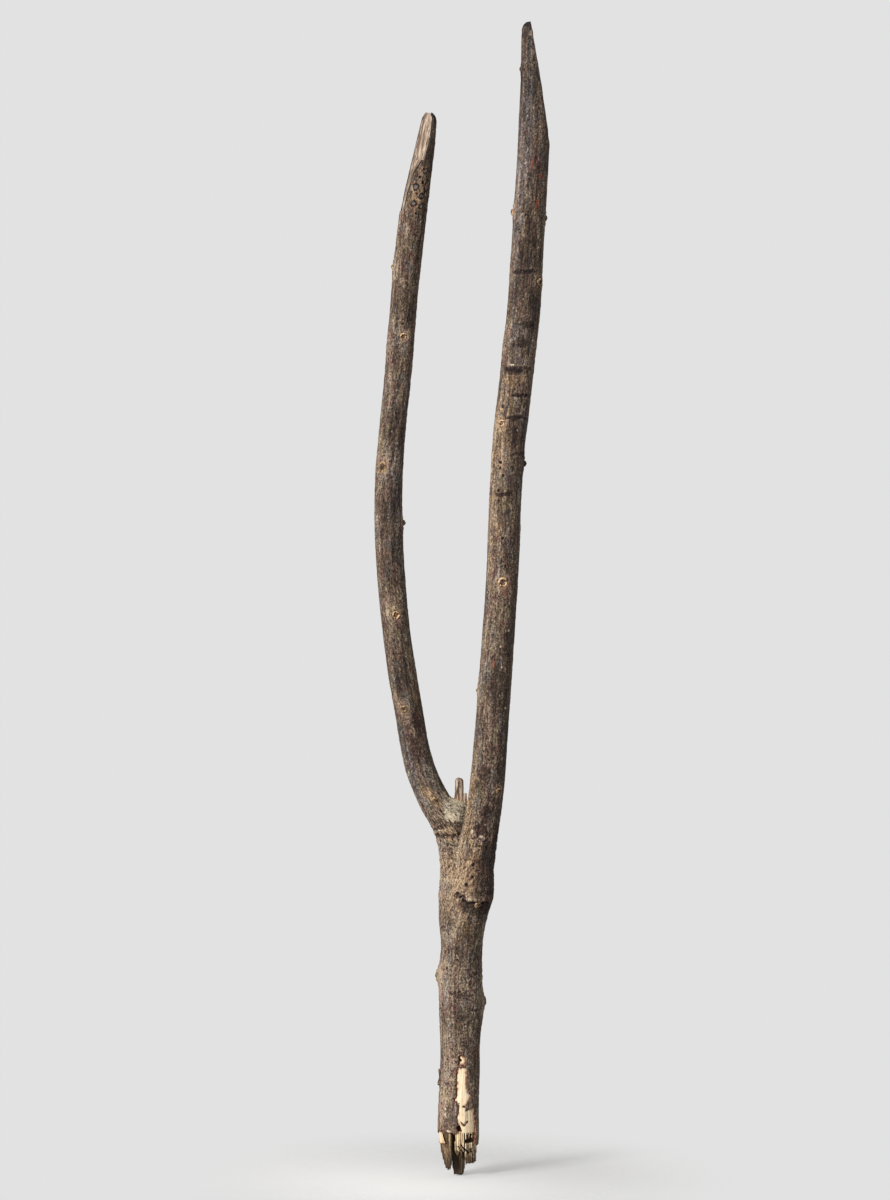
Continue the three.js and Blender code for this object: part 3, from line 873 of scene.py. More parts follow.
def flat_cutter(limb, bearing, low, high, seed):
    """A block that takes what lies outside a knife's strokes, as the CAD flats do."""
    out = np.array([math.cos(math.radians(bearing)), math.sin(math.radians(bearing)), 0])
    foot, head = (limb.place(level, np.zeros(1), 0)[0] + out * reach for level, reach in (low, high))
    up = head - foot
    length = np.linalg.norm(up) + OVERRUN
    up /= np.linalg.norm(up)
    across = np.cross(up, out)
    facing = np.cross(across, up)
    run = np.arange(-4, length, FINE)
    wide = np.arange(-KNIFE, KNIFE + FINE, FINE)
    a, b = np.meshgrid(wide, run, indexing="xy")
    flat = np.c_[a.ravel(), b.ravel(), np.zeros(a.size)]
    strokes = 0.4 * np.abs(np.sin(math.pi * (flat[:, 0] + 1.2 + 0.012 * flat[:, 1]) / 6.2))
    sway = 0.6 * layered(flat, (24, 20, 1), seed, 3)
    grain = 0.22 * layered(flat, (1.3, 12, 1), seed + 5, 2)
    grain += 0.10 * layered(flat, (1.4, 2.2, 1), seed + 9, 2)
    lift = sway - strokes + grain
    face = foot + np.outer(flat[:, 0], across) + np.outer(flat[:, 1], up) + np.outer(lift, facing)
    back = foot + np.outer(flat[:, 0], across) + np.outer(flat[:, 1], up) + 30 * facing
    rows, columns = a.shape
    index = np.arange(rows * columns).reshape(rows, columns)
    quads = np.stack([index[:-1, :-1], index[:-1, 1:], index[1:, 1:], index[1:, :-1]], -1).reshape(-1, 4)
    rim = np.r_[index[0, :-1], index[:-1, -1], index[-1, :0:-1], index[:0:-1, 0]]
    beyond = np.roll(rim, -1)
    size = rows * columns
    walls = np.stack([beyond, rim, rim + size, beyond + size], -1)
    return new_piece("knife", np.concatenate([face, back]), quads, quads[:, ::-1] + size, walls)


# Flats of the knife on each limb: bearing, then level and reach from the pith at two levels.
FLATS = {
    LEFT: [
        (-166, (650, 9.3), (724, -0.3)),
        (-135, (668, 11.0), (697, 2.8)),
        (-135, (690, 3.6), (724, -0.5)),
    ],
    RIGHT: [(-4, (703, 12.5), (743, 5.7)), (-4, (738, 6.5), (798, -3.2))],
}


def whittle(piece, limb):
    """Cuts a limb's flats."""
    for number, (bearing, low, high) in enumerate(FLATS[limb]):
        cut(piece, flat_cutter(limb, bearing, low, high, 120 + 10 * number))


# ---------------------------------------------------------------- the union

COLLAR = {"x": -4.6, "y": 2.5, "level": 163.6, "radius": 13.2}  # the bulge of the left limb's collar


def merged(first, second, reach):
    """The smaller of two distances, rounded where they meet, and the share of the second."""
    share = np.clip(0.5 + 0.5 * (first - second) / reach, 0, 1)
    return first * (1 - share) + second * share - reach * share * (1 - share), share


def union_shape(x, y, z):
    """Distance from the union's round outside, and the right limb's share of each place."""
    sides = []
    for limb in (LEFT, RIGHT):
        pith_x, pith_y, radius = limb.at(z)
        sides.append(np.hypot(x - pith_x, y - pith_y) - radius)
    ball = np.sqrt((x - COLLAR["x"]) ** 2 + (y - COLLAR["y"]) ** 2 + (z - COLLAR["level"]) ** 2)
    left, _ = merged(sides[0], ball - COLLAR["radius"], 5.0)
    blend = 0.7 + 7.0 * bump(np.maximum(0, z - 96), 26) * smoothstep(UNION_START, UNION_START + 24, z)
    return merged(left, sides[1], blend)


def union_values(points):
    """Distance, relief, marks, grain and the right limb's share at points on the union's bark."""
    whole, share = union_shape(*points.T)
    total, mixed, grains = 0.0, {}, []
    for limb, part in ((LEFT, 1 - share), (RIGHT, share)):
        bearing, _, radius = limb.around(points)
        out, marks = bark_of(limb, points[:, 2], bearing, radius)
        total = total + part * out
        for kind, amount in marks.items():
            mixed[kind] = mixed.get(kind, 0) + part * amount
        grains.append(limb.grain(points))
    return whole, total, mixed, np.where(share[:, None] > 0.5, grains[1], grains[0]), share


UNION_LOW, UNION_HIGH = (-48, -30), (42, 30)  # x and y of a box that holds the whole union


def union_hull(past, inset, step):
    """The union between its two ends and a little past them, its surface sunk by inset."""
    middle, half = (UNION_START + TINE_START) / 2, (TINE_START - UNION_START) / 2 + past

    def field(x, y, z):
        return np.maximum(union_shape(x, y, z)[0] + inset, np.abs(z - middle) - half)

    return carve(field, (*UNION_LOW, middle - half - 3), (*UNION_HIGH, middle + half + 3), step)


def union_bark():
    """The bark round the union, which swells, folds and tears where the two limbs part."""
    points, quads = union_hull(2, 0, 0.55)
    slope = np.zeros_like(points)
    for axis, shift in enumerate(0.2 * np.eye(3)):
        ahead, behind = (union_shape(*(points + side * shift).T)[0] for side in (1, -1))
        slope[:, axis] = ahead - behind
    slope[:, 2] *= smoothstep(0, 6, np.minimum(points[:, 2] - UNION_START, TINE_START - points[:, 2]))
    slope /= np.maximum(np.linalg.norm(slope, axis=1), 1e-9)[:, None]
    points = points + slope * union_values(points)[1][:, None]
    piece = new_piece("union_bark_skin", points, quads)
    cut(piece, new_piece("hollow", *union_hull(5, BARK, 1.6)))
    square = 90 * np.array([(-1, -1), (1, -1), (1, 1), (-1, 1)])
    ends = [np.c_[square, np.full(4, level)] for level in (UNION_START, TINE_START)]
    cut(piece, plug("ends", ends), "INTERSECT")
    points = points_in(piece)
    whole, out, marks, grain, share = union_values(points)
    level = points[:, 2]
    crease = bump(share - 0.62, 0.2) * smoothstep(118, 132, level) * smoothstep(176, 164, level)
    marks["ash"] = np.maximum(marks["ash"], 1.3 * crease * (points[:, 1] < 0))
    paint(piece, grain=grain, relief=out, depth=np.clip(out - whole, 0, 3), raw=out * 0, **marks)
    return piece


# ---------------------------------------------------------------- wood


# Cracks and torn places on the wood in the window: two ends as x and level, width, depth.
CRACKS = [
    ((0.6, -79.4), (2.8, -83.0), 0.45, 0.9),
    ((2.8, -83.0), (5.2, -79.2), 0.45, 0.9),
    ((5.4, -69.0), (5.3, -81), 0.3, 0.5),
    ((2.4, -67.2), (6.0, -68.2), 0.6, 1.1),
    ((4.8, -70.4), (7.0, -68.8), 0.6, 1.1),
    ((-1.4, -83.6), (-0.4, -88.4), 1.5, 3.0),
    ((-1.2, -64), (-1.6, -73), 0.4, 0.6),
    ((-1.6, -28.6), (0.2, -30.6), 0.9, 1.2),
    ((9.6, -72), (10.0, -81), 0.2, 0.35),
]


FAR_FROM_EDGE = 4.0  # the torn edge of the bark no longer stains the wood at this distance


def bare_front(side, level):
    """Which places lie on the front of the handle where its wood is bare."""
    return (side < 0) & (level < BARE_BELOW) & (level > BREAK - 10)


def cracks_at(x, level):
    """How deep the cracks are at places on the front of the handle's wood."""
    deep = np.zeros(len(x))
    for start, end, width, depth in CRACKS:
        start, end = np.array(start), np.array(end)
        span = end - start
        off = np.c_[x, level] - start
        part = np.clip(off @ span / (span @ span), 0, 1)
        away = np.hypot(*(off - np.outer(part, span)).T)
        ragged = 0.3 * layered(spread(x, level), 0.9, 140, 2)
        deep = np.maximum(deep, depth * smoothstep(width + 0.25, width * 0.5, away + ragged))
    return deep


def wood_relief(limb, level, bearing, radius):
    """Fibres, waves and cracks of bare wood."""
    at = np.c_[radius * np.cos(bearing), radius * np.sin(bearing), level]
    out = 0.12 * layered(at, (1.2, 1.2, 22), 151, 3) + 0.15 * layered(at, (5, 5, 14), 157, 2)
    if limb is RIGHT:
        front = bare_front(bearing, level)
        points = limb.place(level[front], bearing[front], radius[front])
        out[front] -= cracks_at(points[:, 0], points[:, 2])
    return out


def core(name, limb, low, high, fine, tip=None):
    """The wood of a limb between two levels, finely made only between the two levels of fine."""
    columns = int(TAU * 14 / FINE)
    bearing = np.linspace(-math.pi, math.pi, columns, endpoint=False)[None]
    stops = [low, max(low, fine[0]), min(high, fine[1]), high]
    levels = [low]
    for start, end, spacing in zip(stops, stops[1:], (COARSE, FINE, COARSE)):
        count = math.ceil((end - start) / spacing)
        levels.extend(np.linspace(start, end, count + 1)[1:] if count else [])
    level = np.array(levels)[:, None]
    radius = limb.at(level)[2]
    flat_bearing = (bearing + 0 * level).ravel()
    flat_level, flat_radius = (level + 0 * bearing).ravel(), (radius + 0 * bearing).ravel()
    out = wood_relief(limb, flat_level, flat_bearing, flat_radius).reshape(len(level), columns)
    reach = radius - CORE_DEPTH + out
    if tip:
        reach = np.maximum(0.3, reach * dome(level, tip, TIP_DOME))
    points = limb.place(level, bearing + 0 * level, reach)
    return capped(name, points.reshape(len(level), columns, 3))


def paint_wood(piece, limb):
    """Stores what bare wood's material needs: grain, depth, cracks with painted shade on the lower rim, and
    how near the torn bark is.
    """
    points = points_in(piece)
    _, far, radius = limb.around(points)
    crack = np.zeros(len(points))
    front = bare_front(points[:, 1], points[:, 2])
    crack[front] = cracks_at(points[front, 0], points[front, 2])
    # stain and painted shade on the wood's lower left rim, under the bark's edge, kept with the cracks
    shaded = smoothstep(BREAK + 2.2, BREAK + 0.9, points[:, 2]) * (points[:, 0] < -2.6) * (limb is RIGHT)
    crack = np.maximum(crack, 0.45 * shaded)
    edge = window_margin(points) if limb is RIGHT else np.full(len(points), FAR_FROM_EDGE)
    depth = np.clip(radius - CORE_DEPTH - far, 0, 12)
    paint(piece, grain=limb.grain(points), depth=depth, crack=crack, edge=edge)


def window_margin(points):
    """Distance of places on the handle from the edge of the torn window, up to a limit."""
    nearest = np.full(len(points), FAR_FROM_EDGE)
    front = (points[:, 1] < 0) & (points[:, 2] < BARE_BELOW - 4)
    for outline, seed in zip(WINDOWS, WINDOW_SEEDS):
        edge = torn(outline, seed + INNER_SHIFT, 0.0)[::2]
        edge = edge[edge[:, 1] > BREAK - 20]
        off = points[front][:, None, [0, 2]] - edge[None]
        nearest[front] = np.minimum(nearest[front], np.hypot(off[..., 0], off[..., 1]).min(axis=1))
    return nearest


# ---------------------------------------------------------------- splinters of the break

GOUGE_BACK = -4.0  # how far back from the front the gouges reach
ROOT_OVERLAP = 1.2  # how far a splinter runs up into the wood that it hangs from


def ordered(points):
    """Points of one level in order round their middle, as x and y."""
    flat = points[:, :2]
    middle = flat.mean(axis=0)
    return flat[np.argsort(np.arctan2(*(flat - middle).T[::-1]))]


def polygon_distance(x, y, corners):
    """Distance from a polygon's outline, negative inside."""
    nearest = np.full(np.broadcast(x, y).shape, np.inf)
    inside = np.zeros(nearest.shape, bool)
    for a, b in zip(corners, np.roll(corners, -1, axis=0)):
        span = b - a
        part = np.clip(((x - a[0]) * span[0] + (y - a[1]) * span[1]) / (span @ span), 0, 1)
        nearest = np.minimum(nearest, np.hypot(x - a[0] - part * span[0], y - a[1] - part * span[1]))
        straddles = (a[1] > y) != (b[1] > y)
        with np.errstate(divide="ignore", invalid="ignore"):
            inside ^= straddles & (x < a[0] + (y - a[1]) * span[0] / span[1])
    return np.where(inside, -nearest, nearest)


class Splinter:
    """A bundle of fibres between the plan of a CAD splinter's root and the plan of its tip.

    narrowing says how late its left and right halves narrow, rough how deep the seams between fibres
    are, ledges at which levels its outside steps in and by how much, and gouges what is torn out of
    its front: two ends as x and level, and a radius.
    """

    def __init__(self, node, seed, fibre, ragged, narrowing, rough=1.0, ledges=(), gouges=(), outline=None):
        points = points_of(node)
        self.node, self.seed, self.fibre, self.ragged = node, seed, fibre, ragged
        self.rough, self.ledges, self.gouges, self.outline = rough, ledges, gouges, outline
        self.top, self.tip = points[:, 2].max(), points[:, 2].min()
        self.root_plan = ordered(points[points[:, 2] > self.top - 0.01])
        self.tip_plan = ordered(points[points[:, 2] < self.tip + 0.01])
        leftward = self.root_plan[:, :1] < self.tip_plan[:, 0].mean()
        self.power = np.where(leftward, *narrowing)

    def gouged(self, shell, x, y, level, uneven):
        """The shell with the gouges taken out of its front."""
        for start, end, reach in self.gouges:
            start, span = np.array(start), np.array(end) - start
            off_x, off_level = x - start[0], level - start[1]
            part = np.clip((off_x * span[0] + off_level * span[1]) / max(span @ span, 1e-6), 0, 1)
            away = np.hypot(off_x - part * span[0], off_level - part * span[1])
            shell = np.maximum(shell, -np.maximum(away - reach + uneven, y - GOUGE_BACK))
        return shell

    def field(self, x, y, z):
        """Distance from the bundle's surface, negative inside."""
        x, y = x[:, :, 0] + 0 * y[:, :, 0], y[:, :, 0] + 0 * x[:, :, 0]
        value, border = fibres(x, y, self.fibre, self.seed)
        strand, seam = fibres(x + 9, y, self.fibre * 0.45, self.seed + 5)
        grooves = self.rough * (0.9 * bump(border, 0.30) + 0.3 * bump(seam, 0.16) + 0.7 * strand) - 1.0
        slices = []
        for level in z.ravel():
            down = np.clip((self.top - level) / (self.top - self.tip), 0, 1)
            plan = self.root_plan + (self.tip_plan - self.root_plan) * down**self.power
            away = polygon_distance(x, y, plan)
            pith_x, pith_y, radius = RIGHT.at(level)
            round_wood = np.hypot(x - pith_x, y - pith_y) - radius + CORE_DEPTH
            for ledge, drop in self.ledges:
                round_wood = round_wood + drop * (level < ledge + 5 * (value - 0.5) + 2.5 * (strand - 0.5))
            swing = 0.12 * np.sin(level / 5.0 + 6 * value)
            shell = np.maximum(away, round_wood) + grooves + self.rough * (0.25 * value + swing) * down
            shell = self.gouged(shell, x, y, level, 0.8 * (strand - 0.5))
            if self.outline:
                shell = np.maximum(shell, polygon_distance(x, level + 0 * x, np.array(self.outline)))
            end = self.tip + self.ragged * (value**1.6 + 0.35 * strand)
            slices.append(np.maximum(np.maximum(shell, end - level), level - self.top - ROOT_OVERLAP))
        return np.stack(slices, axis=-1)

    def build(self, material, slot):
        """Makes the bundle and gives its points what the fibres' materials need."""
        low, high = box_of(self.node)
        step = 0.36
        points, quads = carve(self.field, low - 1.5, high + (1.5, 1.5, 3), step)
        piece = new_piece(self.node + "_fibres", points, quads)
        points = points_in(piece)
        value, border = fibres(points[:, 0], points[:, 1], self.fibre, self.seed)
        down = np.clip((self.top - points[:, 2]) / (self.top - self.tip), 0, 1)
        _, far, radius = RIGHT.around(points)
        deep = np.clip(radius - CORE_DEPTH - far - 1, 0, 6)
        # seam and deep let the material paint shade between the fibres and in torn-out hollows
        paint(piece, grain=points, down=down, fibre=value, seam=bump(border, 0.3), deep=deep)
        return finish(piece, material, slot, self.node)


# ---------------------------------------------------------------- knots, galls, twigs and the flake


ROOTED = 1.7  # how far under the limb's round a knot's face is closed


def pimple(name, spot, rise, seed, tall=1.0, grow=1.0):
    """A knot on its limb: rise gives its height above the bark at each part of its radius."""
    rows, sides = ((18, 56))
    angle = np.linspace(0, TAU, sides, endpoint=False)
    part = np.linspace(0.04, 1, rows)[:, None]
    x, y, radius = spot.limb.at(spot.level)
    lumpy = grow * (1.04 + 0.22 * layered(spread(np.cos(angle), np.sin(angle)) * 1.6, 1, seed, 3))
    across = spot.size * part * (lumpy * np.cos(angle))[None]
    up = spot.size * part * (lumpy * np.sin(angle))[None] * tall
    detail = layered(spread(across.ravel(), up.ravel()), spot.size * 0.5, seed + 3, 3)
    height = rise(part, angle[None]) + 0.2 * spot.size * detail.reshape(across.shape)
    drop = radius - np.sqrt(radius**2 - np.minimum(across, radius * 0.9) ** 2)
    loft = [height - drop, -ROOTED - drop[-1:]]
    across, up = np.concatenate([across, across[-1:]]), np.concatenate([up, up[-1:]])
    reach = radius + np.concatenate(loft)
    out = np.array([math.cos(spot.bearing), math.sin(spot.bearing), 0])
    side = np.array([-out[1], out[0], 0])
    x_above, y_above, _ = spot.limb.at(spot.level + 1)
    upward = np.array([x_above[0] - x[0], y_above[0] - y[0], 1])
    middle = np.array([x[0], y[0], spot.level])
    points = middle + across[..., None] * side + up[..., None] * upward + reach[..., None] * out
    piece = capped(name, points)
    parts = np.r_[np.concatenate([part, part[-1:]]).repeat(sides), 0, 1]
    grain = np.c_[across.ravel(), up.ravel(), reach.ravel() - radius]
    paint(piece, grain=np.r_[grain, [[0, 0, 0], [0, 0, -ROOTED]]], part=parts)
    return piece


def knot_rise(spot, hollow):
    """Height of a knot's face: a domed or dished face inside a low rim."""

    def rise(part, angle):
        dented = 1 + 0.35 * np.sin(2 * angle + spot.level) + 0.2 * np.sin(5 * angle + spot.level)
        face = spot.height * 1.3 * (1 - part**2) * (0.1 if hollow else 1)
        rim = spot.height * 0.5 * dented * bump(part - 0.7, 0.2) * (1 if hollow else 0.4)
        dish = hollow * 1.1 * bump(part, 0.36)
        return face + rim - dish - 0.6 * smoothstep(0.8, 1, part)

    return rise


def gall_rise(spot, seed):
    """Height of a black blister that has burst open at the top."""

    def rise(part, angle):
        lobes = 0.35 * np.sin(angle * 3 + seed) * bump(part - 0.6, 0.25)
        burst = 0.7 * bump(part - 0.12 * np.sin(angle + seed), 0.36)
        return spot.height * (1.25 * np.sqrt(np.clip(1 - part**2, 0, 1)) - burst) + lobes - 0.25 * part

    return rise


def twig(name, node, radius_share, ridges, seed, point=0.0):
    """A dead twig with ridges along it, standing on the union and broken off at its top."""
    low, high = box_of(node)
    middle, half = (low + high) / 2, (high - low) / 2
    spacing = 0.4
    sides = max(12, int(TAU * half[0] / spacing))
    angle = np.linspace(0, TAU, sides, endpoint=False)[None]
    level = np.arange(low[2] - 4, high[2], spacing)[:, None]
    up = (level - low[2]) / (high[2] - low[2])
    where = np.broadcast_arrays(np.cos(angle) * 3, np.sin(angle) * 3, level / 9)
    where = np.stack(where, axis=-1).reshape(-1, 3)
    grooves = layered(where, 1.1, seed, 3).reshape(len(level), sides)
    taper = radius_share * (1 - 0.14 * up) + 0.25 * bump(up, 0.18)
    top = np.clip((level - high[2] + 3) / 3, 0, 1)
    torn_top = 0.8 * layered(spread(np.cos(angle[0]), np.sin(angle[0])) * 1.5, 1, seed + 4)
    closing = (1 - top**2.6 * (1 - point)) ** 0.5
    reach = half[:2].mean() * (taper + ridges * grooves) * np.maximum(closing, 0.12)
    raised = level + torn_top[None] * top
    points = [middle[0] + reach * np.cos(angle), middle[1] + reach * np.sin(angle), raised]
    piece = capped(name, np.stack(points, axis=-1))
    points = points_in(piece)
    groove = np.r_[grooves.ravel(), 0, 0]
    paint(piece, grain=points - middle, up=(points[:, 2] - low[2]) / (high[2] - low[2]), groove=groove)
    return finish(piece, TWIG_WOOD, "twig", node)


def flake(node):
    """A scale of bark that has come off its limb at one end and curls away."""
    low, high = box_of(node)
    bearing, _, radius = RIGHT.around(((low + high) / 2)[None])
    columns, rows = 26, 40
    across = np.linspace(-1, 1, columns)
    along = np.linspace(0, 1, rows)
    level = (low[2] + (high[2] - low[2]) * along)[:, None]
    width = (1.9 * np.sin(math.pi * (0.12 + 0.8 * along)) ** 0.6)[:, None]
    width = width * (1 + 0.5 * noise(spread(along * 6), 231)[:, None])
    lift = 0.5 * (1 - along[:, None]) ** 2 + 0.1 * across**2 + 0.4 * np.sin(along[:, None] * 9) - 0.6
    turn = bearing[0] + across * width / radius[0]
    wavy = 0.18 * noise(spread((across * 3 + 0 * level).ravel(), level.repeat(columns) / 2), 233)
    sheets = []
    for thickness in (0.0, 1.1):
        reach = RIGHT.at(level)[2] + lift + thickness + wavy.reshape(rows, columns)
        sheets.append(RIGHT.place(level, turn, reach).reshape(rows, columns, 3))
    loop = np.concatenate([sheets[0], sheets[1][:, ::-1]], axis=1)
    piece = capped("bark_flake_curl", loop)
    points = points_in(piece)
    zeros = np.zeros(len(points))
    marks = {kind: zeros for kind in (*MARK_KINDS, "crust", "weather_and_painted_light", "depth", "relief")}
    marks["rust"] = zeros + 0.5
    paint(piece, grain=RIGHT.grain(points), knot=zeros + 0.3, raw=zeros, **marks)
    return finish(piece, BARK_SKIN, "bark", node)


# ---------------------------------------------------------------- materials


def srgb(red, green, blue):
    """A colour given in the usual 0 to 255 numbers."""
    parts = [part / 255 for part in (red, green, blue)]
    linear = [part / 12.92 if part <= 0.04045 else ((part + 0.055) / 1.055) ** 2.4 for part in parts]
    return (*linear, 1.0)


class Material:
    """Builds a material out of nodes. Each call gives the socket that carries its result."""

    def __init__(self, name):
        self.material = bpy.data.materials.new(name)
        self.material.use_nodes = True
        self.tree = self.material.node_tree
        self.shader = self.tree.nodes["Principled BSDF"]

    def node(self, kind, inputs, output=0, **settings):
        """An output of a new node, whose inputs are linked to sockets or set to values."""
        node = self.tree.nodes.new(kind)
        for key, value in settings.items():
            setattr(node, key, value)
        for key, value in inputs.items():
            if isinstance(value, bpy.types.NodeSocket):
                self.tree.links.new(value, node.inputs[key])
            else:
                node.inputs[key].default_value = value
        return node.outputs[output]

    def number(self, name):
        """A number that paint() stored."""
        return self.node("ShaderNodeAttribute", {}, "Fac", attribute_name=name)

    def vector(self, name):
        return self.node("ShaderNodeAttribute", {}, "Vector", attribute_name=name)

    def math(self, operation, first, second=0.0):
        return self.node("ShaderNodeMath", {0: first, 1: second}, operation=operation)

    def times(self, first, second):
        return self.math("MULTIPLY", first, second)

    def plus(self, first, *others):
        """The sum of two or more sockets and numbers."""
        for other in others:
            first = self.math("ADD", first, other)
        return first

    def swing(self, value, amount):
        """Noise about a half turned into a number about zero, made stronger."""
        return self.times(self.math("SUBTRACT", value, 0.5), amount)

    def uneven(self, name, *noises):
        """A number that paint() stored, made uneven by noises of given strengths."""
        return self.plus(self.number(name), *(self.swing(value, amount) for value, amount in noises))

    def step(self, value, low, high):
        """0 at low and 1 at high, with soft ends."""
        inputs = {"Value": value, "From Min": low, "From Max": high}
        return self.node("ShaderNodeMapRange", inputs, interpolation_type="SMOOTHSTEP")

    def scaled(self, where, size):
        """A place measured in lumps of the given size."""
        return self.node("ShaderNodeVectorMath", {0: where, 1: size}, operation="DIVIDE")

    def noise(self, where, size, detail=3.0, roughness=0.55, distortion=0.0):
        """Cloudy noise from 0 to 1 with lumps of the given size in millimetres."""
        inputs = {"Vector": self.scaled(where, size), "Scale": 1.0, "Detail": detail}
        inputs.update({"Roughness": roughness, "Distortion": distortion})
        return self.node("ShaderNodeTexNoise", inputs)

    def cells(self, where, size):
        """Distance from the nearest of points strewn about at the given spacing."""
        inputs = {"Vector": self.scaled(where, size), "Scale": 1.0, "Randomness": 1.0}
        return self.node("ShaderNodeTexVoronoi", inputs)

    def ramp(self, value, *stops):
        """A colour that runs through stops of position and colour."""
        node = self.tree.nodes.new("ShaderNodeValToRGB")
        self.tree.links.new(value, node.inputs[0])
        elements = node.color_ramp.elements
        while len(elements) < len(stops):
            elements.new(0.5)
        for element, (position, colour) in zip(elements, stops):
            element.position, element.color = position, colour
        return node.outputs[0]

    def mix(self, amount, first, second, blend="MIX"):
        inputs = {0: amount, 6: first, 7: second}
        return self.node("ShaderNodeMix", inputs, 2, data_type="RGBA", blend_type=blend)

    def tint(self, colour, value, low, high, amount, shade, blend="MIX"):
        """A colour turned to a shade, by up to the given amount, as a value goes from low to high."""
        return self.mix(self.times(self.step(value, low, high), amount), colour, shade, blend)

    def done(self, colour, roughness, height, depth=0.0004, gloss=0.35):
        """Sets the surface: its colour, roughness and a bump of the given depth in metres."""
        normal = self.node("ShaderNodeBump", {"Strength": 1.0, "Distance": depth, "Height": height})
        for key, value in (("Base Color", colour), ("Roughness", roughness), ("Normal", normal)):
            if isinstance(value, bpy.types.NodeSocket):
                self.tree.links.new(value, self.shader.inputs[key])
            else:
                self.shader.inputs[key].default_value = value
        self.shader.inputs["Specular IOR Level"].default_value = gloss
        return self.material


def bark_material():
    """Weathered bark: purple-brown streaks, grey and tan patches, knots' collars, stains and specks."""
    m = Material("bark")
    grain, crust = m.vector("grain"), m.number("crust")
    streaks = m.noise(grain, (2.2, 2.2, 24.0), 4.0, 0.62, 0.3)
    threads = m.noise(grain, (0.9, 0.9, 3.4), 3.0, 0.65)
    specks = m.noise(grain, (1.3, 1.3, 1.5), 4.0, 0.75)
    patches = m.noise(grain, (7.0, 7.0, 20.0), 3.0, 0.6, 0.4)
    hues = m.noise(grain, (5.0, 5.0, 9.0), 4.0, 0.65, 0.6)
    blotches = m.noise(grain, (3.2, 3.2, 5.0), 4.0, 0.65)
    relief = m.step(m.number("relief"), -0.8, 0.8)
    # painted light in the tone: the painted highlight on the left side comes with the level's lightness,
    # and the relief paints shade into creases and highlights onto ridges
    tone = m.plus(
        m.number("weather_and_painted_light"),
        0.50,
        m.times(m.swing(streaks, 1.4), m.math("SUBTRACT", 1.0, m.times(crust, 0.7))),
        m.swing(threads, 1.2),
        m.times(m.swing(specks, 2.5), m.plus(0.62, m.times(crust, 0.8))),
        m.swing(relief, 0.5),
    )
    colour = m.ramp(
        tone,
        (0.06, srgb(24, 17, 13)),
        (0.30, srgb(58, 45, 36)),
        (0.50, srgb(88, 71, 58)),
        (0.74, srgb(122, 104, 89)),
        (1.00, srgb(172, 152, 131)),
    )
    tan = m.ramp(tone, (0.06, srgb(44, 30, 19)), (0.5, srgb(110, 86, 64)), (1.0, srgb(196, 169, 136)))
    grey = m.ramp(tone, (0.06, srgb(27, 25, 25)), (0.5, srgb(82, 76, 72)), (1.0, srgb(160, 151, 142)))
    olive = m.ramp(tone, (0.06, srgb(28, 22, 12)), (0.5, srgb(86, 73, 50)), (1.0, srgb(166, 149, 116)))
    purple = m.ramp(tone, (0.06, srgb(24, 12, 12)), (0.5, srgb(74, 46, 42)), (1.0, srgb(144, 112, 100)))
    ash = m.ramp(tone, (0.1, srgb(66, 56, 46)), (0.5, srgb(138, 127, 110)), (0.9, srgb(200, 190, 170)))
    slate = m.ramp(tone, (0.06, srgb(30, 25, 26)), (0.5, srgb(80, 73, 74)), (1.0, srgb(150, 143, 142)))
    crumbs = m.step(m.cells(grain, (4.2, 4.2, 5.6)), 0.20, 0.10)
    pits = m.step(m.cells(grain, (2.1, 2.1, 2.6)), 0.34, 0.12)
    chalk = ((0.3, srgb(136, 120, 98)), (0.5, srgb(188, 174, 148)), (0.7, srgb(216, 206, 184)))
    for value, low, high, amount, shade in (
        (patches, 0.51, 0.62, 0.75, grey),
        (hues, 0.52, 0.64, 0.65, olive),
        (hues, 0.49, 0.37, 0.85, purple),
        (m.uneven("slate", (blotches, 1.6)), 0.15, 0.8, 0.8, slate),
        (m.uneven("tan", (blotches, 2.4)), 0.15, 0.8, 0.85, tan),
        (m.uneven("ash", (blotches, 1.6)), 0.2, 0.8, 0.85, ash),
        (blotches, 0.46, 0.6, crumbs, srgb(158, 142, 120)),
        (specks, 0.62, 0.42, pits, srgb(24, 18, 17)),
        (m.cells(grain, (8.0, 8.0, 11.0)), 0.12, 0.06, 0.6, srgb(116, 70, 50)),
        (m.uneven("knot", (specks, 1.6)), 0.35, 0.95, 0.7, srgb(132, 102, 74)),
        (m.uneven("rust", (threads, 1.6), (specks, 1.6)), 0.3, 1.0, 0.7, srgb(128, 68, 44)),
        (m.uneven("pale", (specks, 1.4), (blotches, 1.4)), 0.3, 0.8, 0.9, m.ramp(specks, *chalk)),
    ):
        colour = m.tint(colour, value, low, high, amount, shade)
    # this darkens dark patches of the bark and also painted shade: in the rings' grooves, under the scar's
    # ledge and the left collar, and down the union's right side
    dark = m.uneven("dark", (threads, 1.0), (blotches, 1.8))
    colour = m.tint(colour, dark, 0.2, 1.2, 0.9, srgb(116, 86, 86), "MULTIPLY")
    colour = m.mix(m.step(m.number("hole"), 0.3, 0.7), colour, srgb(16, 11, 10))
    torn = m.noise(grain, (1.0, 1.0, 3.0), 3.0)
    inner = m.ramp(torn, (0.38, srgb(14, 11, 10)), (0.58, srgb(30, 24, 20)), (0.78, srgb(88, 70, 52)))
    raw = m.ramp(torn, (0.40, srgb(40, 18, 13)), (0.50, srgb(118, 54, 36)), (0.62, srgb(196, 140, 98)))
    inner = m.mix(m.number("raw"), inner, raw)
    colour = m.mix(m.step(m.number("depth"), 0.15, 0.5), colour, inner)
    height = m.plus(m.times(threads, 0.5), m.times(specks, 0.6), m.times(streaks, 0.4), m.times(pits, -0.3))
    roughness = m.ramp(specks, (0.3, (0.95, 0.95, 0.95, 1)), (0.7, (0.7, 0.7, 0.7, 1)))
    return m.done(colour, roughness, height, 0.0013)


